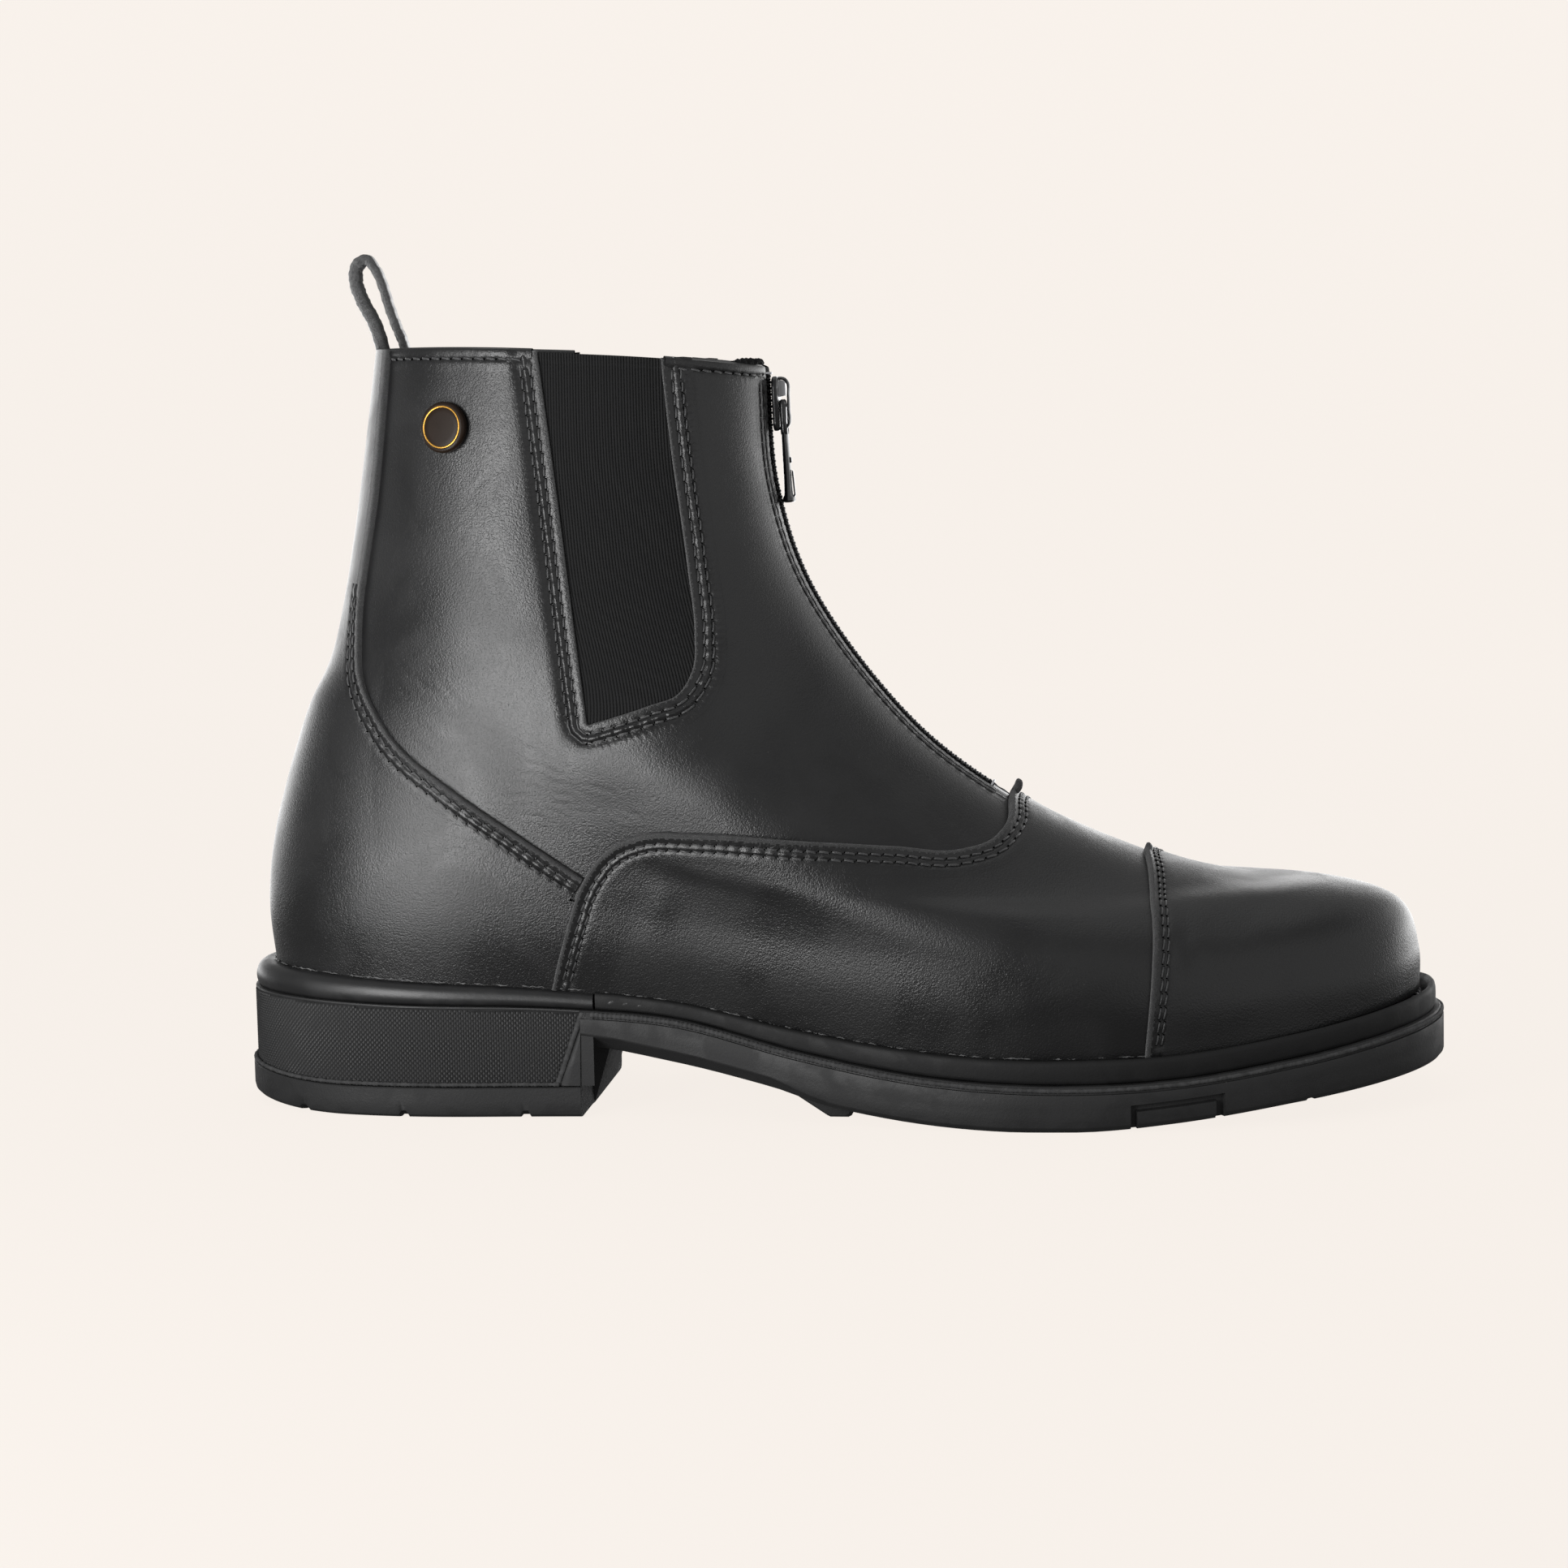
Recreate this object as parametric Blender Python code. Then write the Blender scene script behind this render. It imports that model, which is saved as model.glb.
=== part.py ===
"""Jodhpur boot for a right foot, seen from its outer side with the toe at +X.

Ankle-high riding boot: a hollow upper on a welted rubber sole, with a toe cap,
a vamp and a heel counter laid over it, elastic gores in both sides, a zip down
the front, a pull loop at the back of the collar and a small round badge.

Frame: +X runs to the toe, -Y is the outer side of the foot, +Z is up and the
floor is z = 0. Lengths are written in millimetres and scaled to metres.
"""

from collections import namedtuple

import bmesh
import bpy
import numpy as np

MM = 0.001
ACROSS = np.array([0.0, 1.0, 0.0])

# Driving dimensions
GAP = 0.3                 # clearance between neighbouring pieces
OVERLAY_GAP = 0.55        # the overlays' inner face above the upper's face
CAP_GAP = 0.75            # the same at the toe cap, whose facets are long
WALL = 2.2                # thickness of the upper's wall, lining included
COLLAR_CROWN = 1.8        # how much the collar rises at the sides
NOSE_POWER = 2.15         # 2 gives elliptic toe and heel ends, more is squarer
SAG_FADE = 1.6            # how fast the arch of the sole fades out up the upper
CROWN_FADE = 8            # how close to the collar its rise starts
LIFT_OFF = 0.012          # the overlays start this far up the upper, clear of the welt

VAMP_LAP = 1.6            # outer face of each overlay above the upper's face
COUNTER_LAP = 1.3
CAP_LAP = 2.5
GORE_RECESS = 0.4         # the elastic's face below the upper's face
GORE_BACK = 1.7

SEAM_LEVEL_CAP = 0.486    # level of the toe-cap seam on the front line
SEAM_LEVEL_VAMP = 0.608   # level of the vamp point on the front line
SEAM_MIDDLE = 0.52        # share of the toe-cap seam at the cap's outer corner

ZIP_FOOT = 0.622          # levels where the zip starts and ends
ZIP_HEAD = 0.998
ZIP_ROOM = 0.004          # the slot starts this far below the zip
ZIP_SLOT = 7.0            # width of the slot for the zip
TAPE_DEPTH = 1.8          # the zip's tape below the upper's face
CHAIN_WIDTH = 3.8
CHAIN_RISE = 1.0          # the teeth above the upper's face

SLIDER_LEVEL = 0.968      # level of the slider's middle
SLIDER_LENGTH = 13.4
SLIDER_PLATE = 1.5
BRIDGE_GAP = 1.7
BRIDGE_BAR = 1.0
BRIDGE_WIDTH = 2.4
BRIDGE_LENGTH = 9.0
BRIDGE_ROOT = 0.4         # the bridge's posts reach this far into the plate

PULL_LENGTH = 24.2        # from the pivot to the tab's foot
PULL_BAR = 1.0            # the bar under the slider's bridge
PULL_EYE_WIDTH = 3.2
PULL_EYE_LENGTH = 5.6
PULL_FOOT_CLEARANCE = 2.4  # the tab's middle above the front line at its foot

BADGE_DIAMETER = 12.4
BADGE_HEIGHT = 2.5
BADGE_LEVEL = 0.944
BADGE_TURN = 2.116        # angle round the collar from the front, radians

LOOP_WIDTH = 10.0
LOOP_THICKNESS = 2.8
LOOP_YAW = -0.14          # the strap's far edge lies this much further back

INSOLE_THICKNESS = 3.0
SEAT_REBATE = 3.5         # the welt and rand reach this far in under the upper
WELT_SETBACK = 2.0        # the welt's edge inside the outsole's edge
RAND_SETBACK = 2.2
WELT_SHOULDER = 1.0       # how far the top edge of each is rounded in
RAND_SHOULDER = 1.6
STRIP_BULGE = 0.4         # how far the side of each swells out
HALF_LENGTH = 100.0       # rough length of one turn round the feather line, per radian
BREAST_X = -60.4          # front face of the heel
JOINT_X = -57.0           # where the heel rand butts against the welt
LIFT_HEIGHT = 7.6         # top piece of the heel below the inset panel
HEEL_KICK = 2.5           # rise of the heel's back edge off the floor
HEEL_KICK_X = -120.0      # where that rise starts
PANEL_TOP = 24.6
PANEL_FRONT = -65.0       # the inset panel stops here and runs out over PANEL_EASE
PANEL_EASE = 2.0
LEDGE_SETBACK = 0.7       # top corner of the outsole's side
HEEL_EDGE = 2.0           # the heel's lower edge is drawn in by this
GROOVE_TAPER = 0.5        # a groove's width at its bottom against its mouth

GORE_FOOT = 0.62          # the elastic's blank, before it is cut to the window
GORE_HEAD = 0.998
GORE_FRONT_TURN = 0.80
GORE_BACK_TURN = 1.80
WINDOW_NEAR = 15.0        # the window's cutter runs from here to here across the boot
WINDOW_FAR = 75.0

ROUND_STEPS = 44          # sections round the upper
LEVEL_STEPS = 19          # loops from the feather line to the collar

# One row for each loop of the last, from the sole's edge up to the collar: the
# loop's front and back point in the side view, its half widths at four stations
# and the share of its length that the rounded front and back ends take.
Level = namedtuple("Level", "name front_x front_z back_x back_z toe ball waist heel nose tail")
LAST = (
    Level("feather line", 141.4, 27.5, -141.6, 35.5, 44.0, 45.5, 28.5, 30.5, 0.26, 0.20),
    Level("toe wall", 141.2, 37.0, -142.8, 48.0, 45.0, 47.0, 31.5, 32.5, 0.29, 0.21),
    Level("toe brow", 137.4, 46.6, -142.3, 58.0, 45.0, 47.0, 33.0, 33.5, 0.38, 0.22),
    Level("toe crown", 122.5, 51.1, -140.5, 69.0, 45.0, 46.5, 34.5, 33.5, 0.50, 0.23),
    Level("cap top", 98.0, 52.8, -137.8, 79.0, 45.0, 46.0, 35.5, 33.5, 0.60, 0.25),
    Level("cap seam", 73.0, 60.2, -134.6, 89.0, 44.5, 45.5, 36.5, 33.5, 0.63, 0.27),
    Level("vamp point", 46.0, 73.0, -130.6, 100.0, 43.5, 44.5, 37.0, 33.0, 0.60, 0.30),
    Level("instep", 19.6, 93.2, -124.6, 112.0, 40.0, 41.0, 37.0, 33.0, 0.56, 0.35),
    Level("ankle", -3.4, 124.0, -120.2, 129.0, 36.0, 36.5, 36.0, 33.0, 0.50, 0.41),
    Level("shaft", -13.0, 152.0, -115.7, 154.0, 33.0, 33.5, 33.5, 32.5, 0.50, 0.46),
    Level("collar", -14.8, 182.0, -110.6, 188.2, 31.5, 31.5, 31.5, 31.5, 0.50, 0.50),
)

# Where the half widths stand along a loop, and the sway of the loop's middle
# towards the inner side of the foot there, which makes the boot a right one.
Station = namedtuple("Station", "name share sway")
STATIONS = (
    Station("toe", 0.116, 2.3),
    Station("ball", 0.325, -0.7),
    Station("waist", 0.620, -2.2),
    Station("heel", 0.883, -0.7),
)

# Heights of the sole along its length: the seat that carries the upper, the
# ledge that carries welt and rand, the underside, how far the outsole stands
# out from the feather line and how far its lower edge is drawn in.
Sole = namedtuple("Sole", "name x seat ledge under reach bevel")
SOLE = (
    Sole("heel back", -150.0, 35.8, 29.4, 12.0, 8.9, 2.0),
    Sole("heel side", -112.0, 34.0, 28.0, 12.0, 5.0, 2.0),
    Sole("breast", -61.0, 31.0, 26.6, 17.0, 4.6, 5.0),
    Sole("waist", -38.0, 28.4, 24.6, 12.8, 5.0, 6.5),
    Sole("shank", -8.0, 22.3, 17.6, 6.0, 5.6, 6.5),
    Sole("ball back", 22.0, 18.2, 12.8, 1.4, 6.2, 5.6),
    Sole("ball", 46.0, 16.7, 11.2, 0.0, 6.5, 5.0),
    Sole("tread", 62.0, 16.7, 11.0, 0.0, 6.6, 5.0),
    Sole("forepart", 84.0, 17.5, 12.0, 1.7, 7.0, 4.6),
    Sole("toe", 112.0, 21.0, 15.4, 5.0, 7.6, 4.2),
    Sole("toe tip", 152.0, 28.2, 22.2, 10.2, 8.6, 3.6),
)

# Seams in the side view, from the front line or the collar to the feather line
Spot = namedtuple("Spot", "x z")
CAP_SEAM = (Spot(77.0, 57.8), Spot(78.4, 52.4), Spot(79.2, 45.4), Spot(78.9, 36.6), Spot(77.2, 17.4))
VAMP_SEAM = (
    Spot(44.3, 70.4), Spot(41.0, 66.0), Spot(32.5, 63.8), Spot(17.4, 65.5), Spot(-1.7, 67.7),
    Spot(-31.0, 70.0), Spot(-42.0, 69.8), Spot(-51.5, 65.8), Spot(-58.0, 57.7), Spot(-62.6, 45.5),
    Spot(-66.9, 32.0),
)
COUNTER_EDGE = (
    Spot(-105.8, 187.0), Spot(-109.4, 154.3), Spot(-114.6, 118.0), Spot(-114.2, 108.5),
    Spot(-106.7, 94.4), Spot(-89.2, 79.8), Spot(-73.5, 68.8), Spot(-58.6, 58.6),
)
GORE_OUTLINE = (
    Spot(-66.8, 196.0), Spot(-66.8, 186.0), Spot(-61.3, 141.0), Spot(-55.9, 96.5), Spot(-40.4, 101.0),
    Spot(-33.4, 103.6), Spot(-29.8, 109.6), Spot(-29.4, 118.0), Spot(-31.1, 133.6), Spot(-34.6, 161.0),
    Spot(-36.9, 186.0), Spot(-36.9, 196.0),
)

# The pull loop's middle line in the side view, from the collar's rim over the
# top and down inside the collar
PULL_LOOP_PATH = (
    Spot(-111.0, 189.7), Spot(-112.8, 194.4), Spot(-115.8, 200.4), Spot(-117.2, 205.2), Spot(-116.6, 208.8),
    Spot(-114.4, 210.2), Spot(-112.0, 207.6), Spot(-110.2, 203.2), Spot(-108.9, 198.5), Spot(-107.2, 193.5),
    Spot(-105.5, 189.0), Spot(-104.8, 184.0), Spot(-105.4, 176.0),
)

# Sections of the zip's pull tab down from its pivot
Section = namedtuple("Section", "along half_width half_thickness")
PULL_SECTIONS = (
    Section(-0.5, 2.6, 0.5), Section(7.2, 2.6, 0.5), Section(8.6, 2.4, 0.9),
    Section(18.0, 2.2, 0.9), Section(21.4, 2.6, 1.0), Section(PULL_LENGTH, 3.2, 1.0),
)

# Grooves cut across the tread, with their depth and width on the underside
Groove = namedtuple("Groove", "x width depth")
TREAD_GROOVES = (
    Groove(-134.0, 3.0, 2.4), Groove(-105.0, 3.0, 2.4), Groove(-76.0, 3.0, 2.4),
    Groove(30.0, 3.0, 2.2), Groove(74.0, 2.6, 4.0), Groove(93.0, 2.6, 4.0), Groove(116.0, 3.0, 2.4),
)
LUG_OUTLINE = (
    Spot(-11.0, 8.0), Spot(0.6, 0.3), Spot(5.4, 0.3), Spot(7.4, 3.4), Spot(7.4, 7.0), Spot(-11.0, 11.0),
)
LUG_HALF_WIDTH = 35.0

# Steps up the outsole's side: how far each stands in from the edge, its height at
# the heel and its share of the edge's height along the forepart. The steps of the
# inset panel run out towards the heel's front.
SideStep = namedtuple("SideStep", "name heel_setback heel_height in_panel fore_setback fore_share")
SIDE_STEPS = (
    SideStep("edge", 0.0, 1.8, False, 0.5, 0.28),
    SideStep("lift", 0.0, LIFT_HEIGHT, False, 0.0, 0.50),
    SideStep("panel foot", 1.2, LIFT_HEIGHT + 0.8, True, 0.6, 0.82),
    SideStep("panel top", 1.7, PANEL_TOP, True, 0.2, 0.87),
    SideStep("bead", 0.6, PANEL_TOP + 0.8, False, 0.2, 0.96),
)

# Outlines of the zip's pieces: the tape and chain across the front line, the
# slider's plate along it, and the badge's edge out from the upper's face
Across = namedtuple("Across", "half rise")
ZIP_PROFILE = (
    Across(ZIP_SLOT / 2 - GAP, -TAPE_DEPTH), Across(ZIP_SLOT / 2 - GAP, -0.5), Across(CHAIN_WIDTH / 2, -0.5),
    Across(CHAIN_WIDTH / 2, CHAIN_RISE),
)
PlateEdge = namedtuple("PlateEdge", "along half")
SLIDER_PLATE_EDGE = (
    PlateEdge(-SLIDER_LENGTH / 2, 2.6), PlateEdge(1.2 - SLIDER_LENGTH / 2, 3.4), PlateEdge(2.7, 4.6),
    PlateEdge(SLIDER_LENGTH / 2 - 0.8, 4.4), PlateEdge(SLIDER_LENGTH / 2, 3.4),
)
Ring = namedtuple("Ring", "setback rise")
BADGE_RINGS = (
    Ring(0.5, 0.0), Ring(0.0, 0.5), Ring(0.0, 1.2), Ring(0.5, BADGE_HEIGHT - 0.2), Ring(2.0, BADGE_HEIGHT),
)

Finish = namedtuple("Finish", "colour roughness metallic")
LEATHER = Finish((0.012, 0.012, 0.013), 0.42, 0.0)
RUBBER = Finish((0.014, 0.014, 0.015), 0.62, 0.0)
ELASTIC = Finish((0.008, 0.008, 0.009), 0.85, 0.0)
SUEDE = Finish((0.030, 0.030, 0.031), 0.90, 0.0)
LINING = Finish((0.045, 0.040, 0.036), 0.80, 0.0)
BLACK_METAL = Finish((0.020, 0.020, 0.022), 0.30, 1.0)
BRONZE = Finish((0.070, 0.036, 0.020), 0.35, 1.0)


def smooth_through(knots, values, at):
    """Smooth curve through values at the knots, read at the given places."""
    knots = np.asarray(knots, float)
    values = np.asarray(values, float)
    at = np.clip(np.asarray(at, float), knots[0], knots[-1])
    step = np.diff(knots)
    shape = (-1,) + (1,) * (values.ndim - 1)
    slope = np.diff(values, axis=0) / step.reshape(shape)
    weight = (step[:-1] / (step[:-1] + step[1:])).reshape(shape)
    tangent = np.concatenate([slope[:1], slope[:-1] * (1 - weight) + slope[1:] * weight, slope[-1:]])
    i = np.clip(np.searchsorted(knots, at, side="right") - 1, 0, len(step) - 1)
    spread = (...,) + (None,) * (values.ndim - 1)
    h = step[i][spread]
    t = ((at - knots[i]) / step[i])[spread]
    near = (1 + 2 * t) * (1 - t) ** 2 * values[i] + t * (1 - t) ** 2 * h * tangent[i]
    far = t * t * (3 - 2 * t) * values[i + 1] + t * t * (t - 1) * h * tangent[i + 1]
    return near + far


LEVEL_ROWS = np.array([level[1:] for level in LAST])
LEVEL_KNOTS = np.linspace(0.0, 1.0, len(LAST))
SHARES = np.array([station.share for station in STATIONS])
SWAYS = np.array([station.sway for station in STATIONS])
SOLE_ROWS = np.array([row[1:] for row in SOLE])


def sole_height(column, x):
    """One column of the sole's table at any place along the boot."""
    return smooth_through(SOLE_ROWS[:, 0], SOLE_ROWS[:, Sole._fields.index(column) - 1], x)


def rounded_end(share, length):
    """Rise from 0 at the end of a loop to 1 where its rounded end is over."""
    rest = 1 - np.clip(share / length, 0, 1)
    return (1 - rest ** NOSE_POWER) ** (1 / NOSE_POWER)


def side_view(level, share):
    """Place of a loop's point in the side view."""
    rows = smooth_through(LEVEL_KNOTS, LEVEL_ROWS, level)
    x = (1 - share) * rows[..., 0] + share * rows[..., 2]
    z = (1 - share) * rows[..., 1] + share * rows[..., 3]
    feather_x = (1 - share) * LAST[0].front_x + share * LAST[0].back_x
    feather_z = (1 - share) * LAST[0].front_z + share * LAST[0].back_z
    sag = (sole_height("seat", feather_x) - feather_z) * (1 - level) ** SAG_FADE
    crown = COLLAR_CROWN * 4 * share * (1 - share) * level ** CROWN_FADE
    return x, z + sag + crown


def upper_face(level, turn):
    """Point on the upper's outer face.

    level runs from 0 at the feather line to 1 at the collar. turn is the angle
    round the boot: 0 at the front, pi at the back, positive on the outer side.
    """
    level, turn = np.broadcast_arrays(np.asarray(level, float), np.asarray(turn, float))
    share = (1 - np.cos(turn)) / 2
    rows = smooth_through(LEVEL_KNOTS, LEVEL_ROWS, level)
    widths = np.moveaxis(rows[..., 4:8], -1, 0)
    mix = np.stack([smooth_through(SHARES, np.eye(4)[k], share) for k in range(4)])
    half = (widths * mix).sum(axis=0)
    half = half * rounded_end(share, rows[..., 8]) * rounded_end(1 - share, rows[..., 9])
    sway = smooth_through(SHARES, SWAYS, share) * (1 - level)
    x, z = side_view(level, share)
    return np.stack([x, sway - np.sign(np.sin(turn)) * half, z], axis=-1)


def upper_normal(level, turn):
    """Outward direction of the upper's face."""
    step = 1e-4
    level = np.clip(level, 2 * step, 1 - 2 * step)
    along = upper_face(level + step, turn) - upper_face(level - step, turn)
    around = upper_face(level, turn + 4 * step) - upper_face(level, turn - 4 * step)
    normal = np.cross(along, around)
    return normal / np.linalg.norm(normal, axis=-1, keepdims=True)


def offset_face(level, turn, rise):
    """Point at a height above the upper's outer face, negative inside."""
    return upper_face(level, turn) + rise * upper_normal(level, turn)


def locate(spots):
    """Levels and turns of the side-view spots on the outer side."""
    target = np.array(spots, float)
    levels, shares = np.meshgrid(np.linspace(0, 1, 60), np.linspace(0, 1, 60), indexing="ij")
    grid = np.stack(side_view(levels, shares), axis=-1).reshape(-1, 2)
    nearest = [np.argmin(((grid - spot) ** 2).sum(axis=1)) for spot in target]
    guess = np.stack([levels.ravel()[nearest], shares.ravel()[nearest]], axis=-1)
    step = 1e-4
    for _ in range(20):
        guess = np.clip(guess, 2 * step, 1 - 2 * step)
        level, share = guess[:, 0], guess[:, 1]
        miss = target - np.stack(side_view(level, share), axis=-1)
        up = np.subtract(side_view(level + step, share), side_view(level - step, share)).T
        back = np.subtract(side_view(level, share + step), side_view(level, share - step)).T
        move = np.linalg.solve(np.stack([up, back], axis=-1) / (2 * step), miss[..., None])[..., 0]
        guess = guess + np.clip(move, -0.1, 0.1)
    guess = np.clip(guess, 0.0, 1.0)
    return np.stack([guess[:, 0], np.arccos(1 - 2 * guess[:, 1])], axis=-1)


def seam_curve(points, over_front=False):
    """Smooth curve through (level, turn) points, read by a share from 0 to 1.

    A seam that starts on the front line runs on over it to the other side, so
    that it crosses the line square.
    """
    points = np.asarray(points, float)
    if over_front:
        points = np.concatenate([points[:0:-1] * [1.0, -1.0], points])
    places = upper_face(points[:, 0], points[:, 1])
    length = np.concatenate([[0.0], np.cumsum(np.linalg.norm(np.diff(places, axis=0), axis=1))])
    middle = length[len(length) // 2] if over_front else 0.0
    rest = length[-1] - middle
    return lambda share: smooth_through(length, points, middle + rest * np.asarray(share, float))


def straight(start, end):
    """Straight line between two (level, turn) points."""
    start = np.asarray(start, float)
    end = np.asarray(end, float)
    return lambda share: start + (end - start) * np.asarray(share, float)[..., None]


def part_of(curve, start, end):
    """A stretch of a curve, read by a share from 0 to 1."""
    return lambda share: curve(start + (end - start) * np.asarray(share, float))


def patch(bottom, top, left, right, rows, columns):
    """Grid of (level, turn) points between four edges that meet at the corners."""
    u = np.linspace(0, 1, columns + 1)
    v = np.linspace(0, 1, rows + 1)
    low, high, start, end = bottom(u), top(u), left(v), right(v)
    across = (1 - v)[:, None, None] * low[None] + v[:, None, None] * high[None]
    along = (1 - u)[None, :, None] * start[:, None] + u[None, :, None] * end[:, None]
    corners = ((1 - v)[:, None] * (1 - u))[..., None] * low[0] + ((1 - v)[:, None] * u)[..., None] * low[-1]
    corners = corners + (v[:, None] * (1 - u))[..., None] * high[0] + (v[:, None] * u)[..., None] * high[-1]
    return across + along - corners


def mirrored(grid):
    """A grid that runs from the outer side over the front or back to the inner side."""
    other = grid[:, -2::-1].copy()
    turn_at_join = grid[:, -1:, 1]
    other[..., 1] = 2 * turn_at_join - other[..., 1]
    return np.concatenate([grid, other], axis=1)


def finish_material(name, finish):
    """A plain material for one piece."""
    material = bpy.data.materials.new(name)
    material.use_nodes = True
    shader = material.node_tree.nodes["Principled BSDF"]
    shader.inputs["Base Color"].default_value = (*finish.colour, 1.0)
    shader.inputs["Roughness"].default_value = finish.roughness
    shader.inputs["Metallic"].default_value = finish.metallic
    material.diffuse_color = (*finish.colour, 1.0)
    return material


def add_object(name, points, faces, finish=None, pivot=(0.0, 0.0, 0.0)):
    """Mesh object from points in millimetres; one with no finish is a cutter."""
    pivot = np.asarray(pivot, float)
    mesh = bpy.data.meshes.new(name)
    mesh.from_pydata(((np.asarray(points) - pivot) * MM).tolist(), [], faces)
    shape = bmesh.new()
    shape.from_mesh(mesh)
    bmesh.ops.remove_doubles(shape, verts=shape.verts, dist=1e-7)
    bmesh.ops.recalc_face_normals(shape, faces=shape.faces)
    shape.to_mesh(mesh)
    shape.free()
    thing = bpy.data.objects.new(name, mesh)
    thing.location = pivot * MM
    bpy.context.scene.collection.objects.link(thing)
    if finish is None:
        thing.hide_render = True
        thing.display_type = "WIRE"
    else:
        mesh.materials.append(finish_material(name, finish))
        mesh.shade_smooth()
        mesh.set_sharp_from_angle(angle=np.radians(35))
    return thing


def combine(thing, other, operation):
    """Boolean of one object with another."""
    step = thing.modifiers.new(operation.lower() + " " + other.name, "BOOLEAN")
    step.operation = operation
    step.object = other
    step.solver = "EXACT"


def sweep(name, sections, finish=None, closed=False, pivot=(0.0, 0.0, 0.0)):
    """Body through a row of closed sections, with end faces unless it is a ring."""
    sections = np.asarray(sections, float)
    count, size = sections.shape[:2]
    faces = []
    for i in range(count if closed else count - 1):
        here = i * size
        there = (i + 1) % count * size
        for j in range(size):
            k = (j + 1) % size
            faces.append((here + j, here + k, there + k, there + j))
    if not closed:
        faces.append(tuple(range(size)))
        faces.append(tuple(range((count - 1) * size, count * size)))
    return add_object(name, sections.reshape(-1, 3), faces, finish, pivot)


def slab(name, grid, low, high, finish):
    """Piece between two heights above the upper's face, over a grid of (level, turn)."""
    faces_at = [offset_face(grid[..., 0], grid[..., 1], rise) for rise in (low, high)]
    sections = np.concatenate([faces_at[0], faces_at[1][:, ::-1]], axis=1)
    return sweep(name, sections, finish)


def prism(name, outline, near_y, far_y, finish=None):
    """Side-view outline drawn out across the boot."""
    sections = [[(x, y, z) for x, z in outline] for y in (near_y, far_y)]
    return sweep(name, sections, finish)


def stacked(name, rings, finish):
    """Body through rings that run tip, outer side, back, inner side, closed by strips."""
    rings = np.asarray(rings, float)
    count, size = rings.shape[:2]
    faces = []
    for i in range(count - 1):
        for j in range(size):
            k = (j + 1) % size
            faces.append((i * size + j, i * size + k, (i + 1) * size + k, (i + 1) * size + j))
    for start in (0, (count - 1) * size):
        for j in range(size // 2):
            pair = [start + j, start + j + 1, start + (size - j - 1) % size, start + (size - j) % size]
            faces.append(tuple(dict.fromkeys(pair)))
    return add_object(name, rings.reshape(-1, 3), faces, finish)


def feather_ring(reach):
    """Places round the feather line, moved out in plan by reach, a function of x or a length."""
    turn = np.linspace(0, 2 * np.pi, 720, endpoint=False)
    line = upper_face(0.0, turn)
    along = upper_face(0.0, turn + 1e-3) - upper_face(0.0, turn - 1e-3)
    outward = np.stack([along[:, 1], -along[:, 0]], axis=-1)
    outward = -outward / np.linalg.norm(outward, axis=1, keepdims=True)
    distance = reach(line[:, 0]) if callable(reach) else np.full(len(line), reach)
    return line[:, :2] + outward * distance[:, None]


def outsole_reach(x):
    """How far the outsole's edge stands out from the feather line."""
    return sole_height("reach", x)


def sole_stations():
    """Places along the sole for its rings, close together at the ends and at the breast."""
    ring = feather_ring(outsole_reach)
    toe = ring[:, 0].max()
    back = ring[:, 0].min()
    front_part = BREAST_X + 0.2 + (toe - BREAST_X - 0.2) * np.sin(np.linspace(np.pi / 2, 0, 21))
    heel_part = BREAST_X - 0.2 - (BREAST_X - 0.2 - back) * np.sin(np.linspace(0, np.pi / 2, 12))
    return np.concatenate([front_part, heel_part])


def ring_turns(stations):
    """Turns round the feather line at which the outsole's edge passes the stations."""
    turn = np.linspace(0, 2 * np.pi, 720, endpoint=False)
    x = feather_ring(outsole_reach)[:, 0]
    tip = int(np.argmax(x))
    back = int(np.argmin(x))
    outer_side = np.arange(tip, back + 1) if tip < back else np.arange(tip - len(x), back + 1)
    inner_side = np.arange(back, tip + len(x) + 1 if tip < back else tip + 1)
    full = np.concatenate([turn - 2 * np.pi, turn, turn + 2 * np.pi])
    places = np.concatenate([x, x, x])
    shift = len(x)
    outer_turn = np.interp(-stations, -places[outer_side + shift], full[outer_side + shift])
    inner_turn = np.interp(stations[-2:0:-1], places[inner_side + shift], full[inner_side + shift])
    return np.concatenate([outer_turn, inner_turn])


def plan_points(turns, reach):
    """Feather-line points at the turns, moved out in plan by a length for each."""
    along = upper_face(0.0, turns + 1e-3) - upper_face(0.0, turns - 1e-3)
    outward = np.stack([-along[:, 1], along[:, 0]], axis=-1)
    outward = outward / np.linalg.norm(outward, axis=1, keepdims=True)
    return upper_face(0.0, turns)[:, :2] + outward * np.asarray(reach)[:, None]


def at_height(plan, z):
    """Plan points lifted to their heights."""
    return np.concatenate([plan, np.asarray(z)[:, None]], axis=1)


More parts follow.
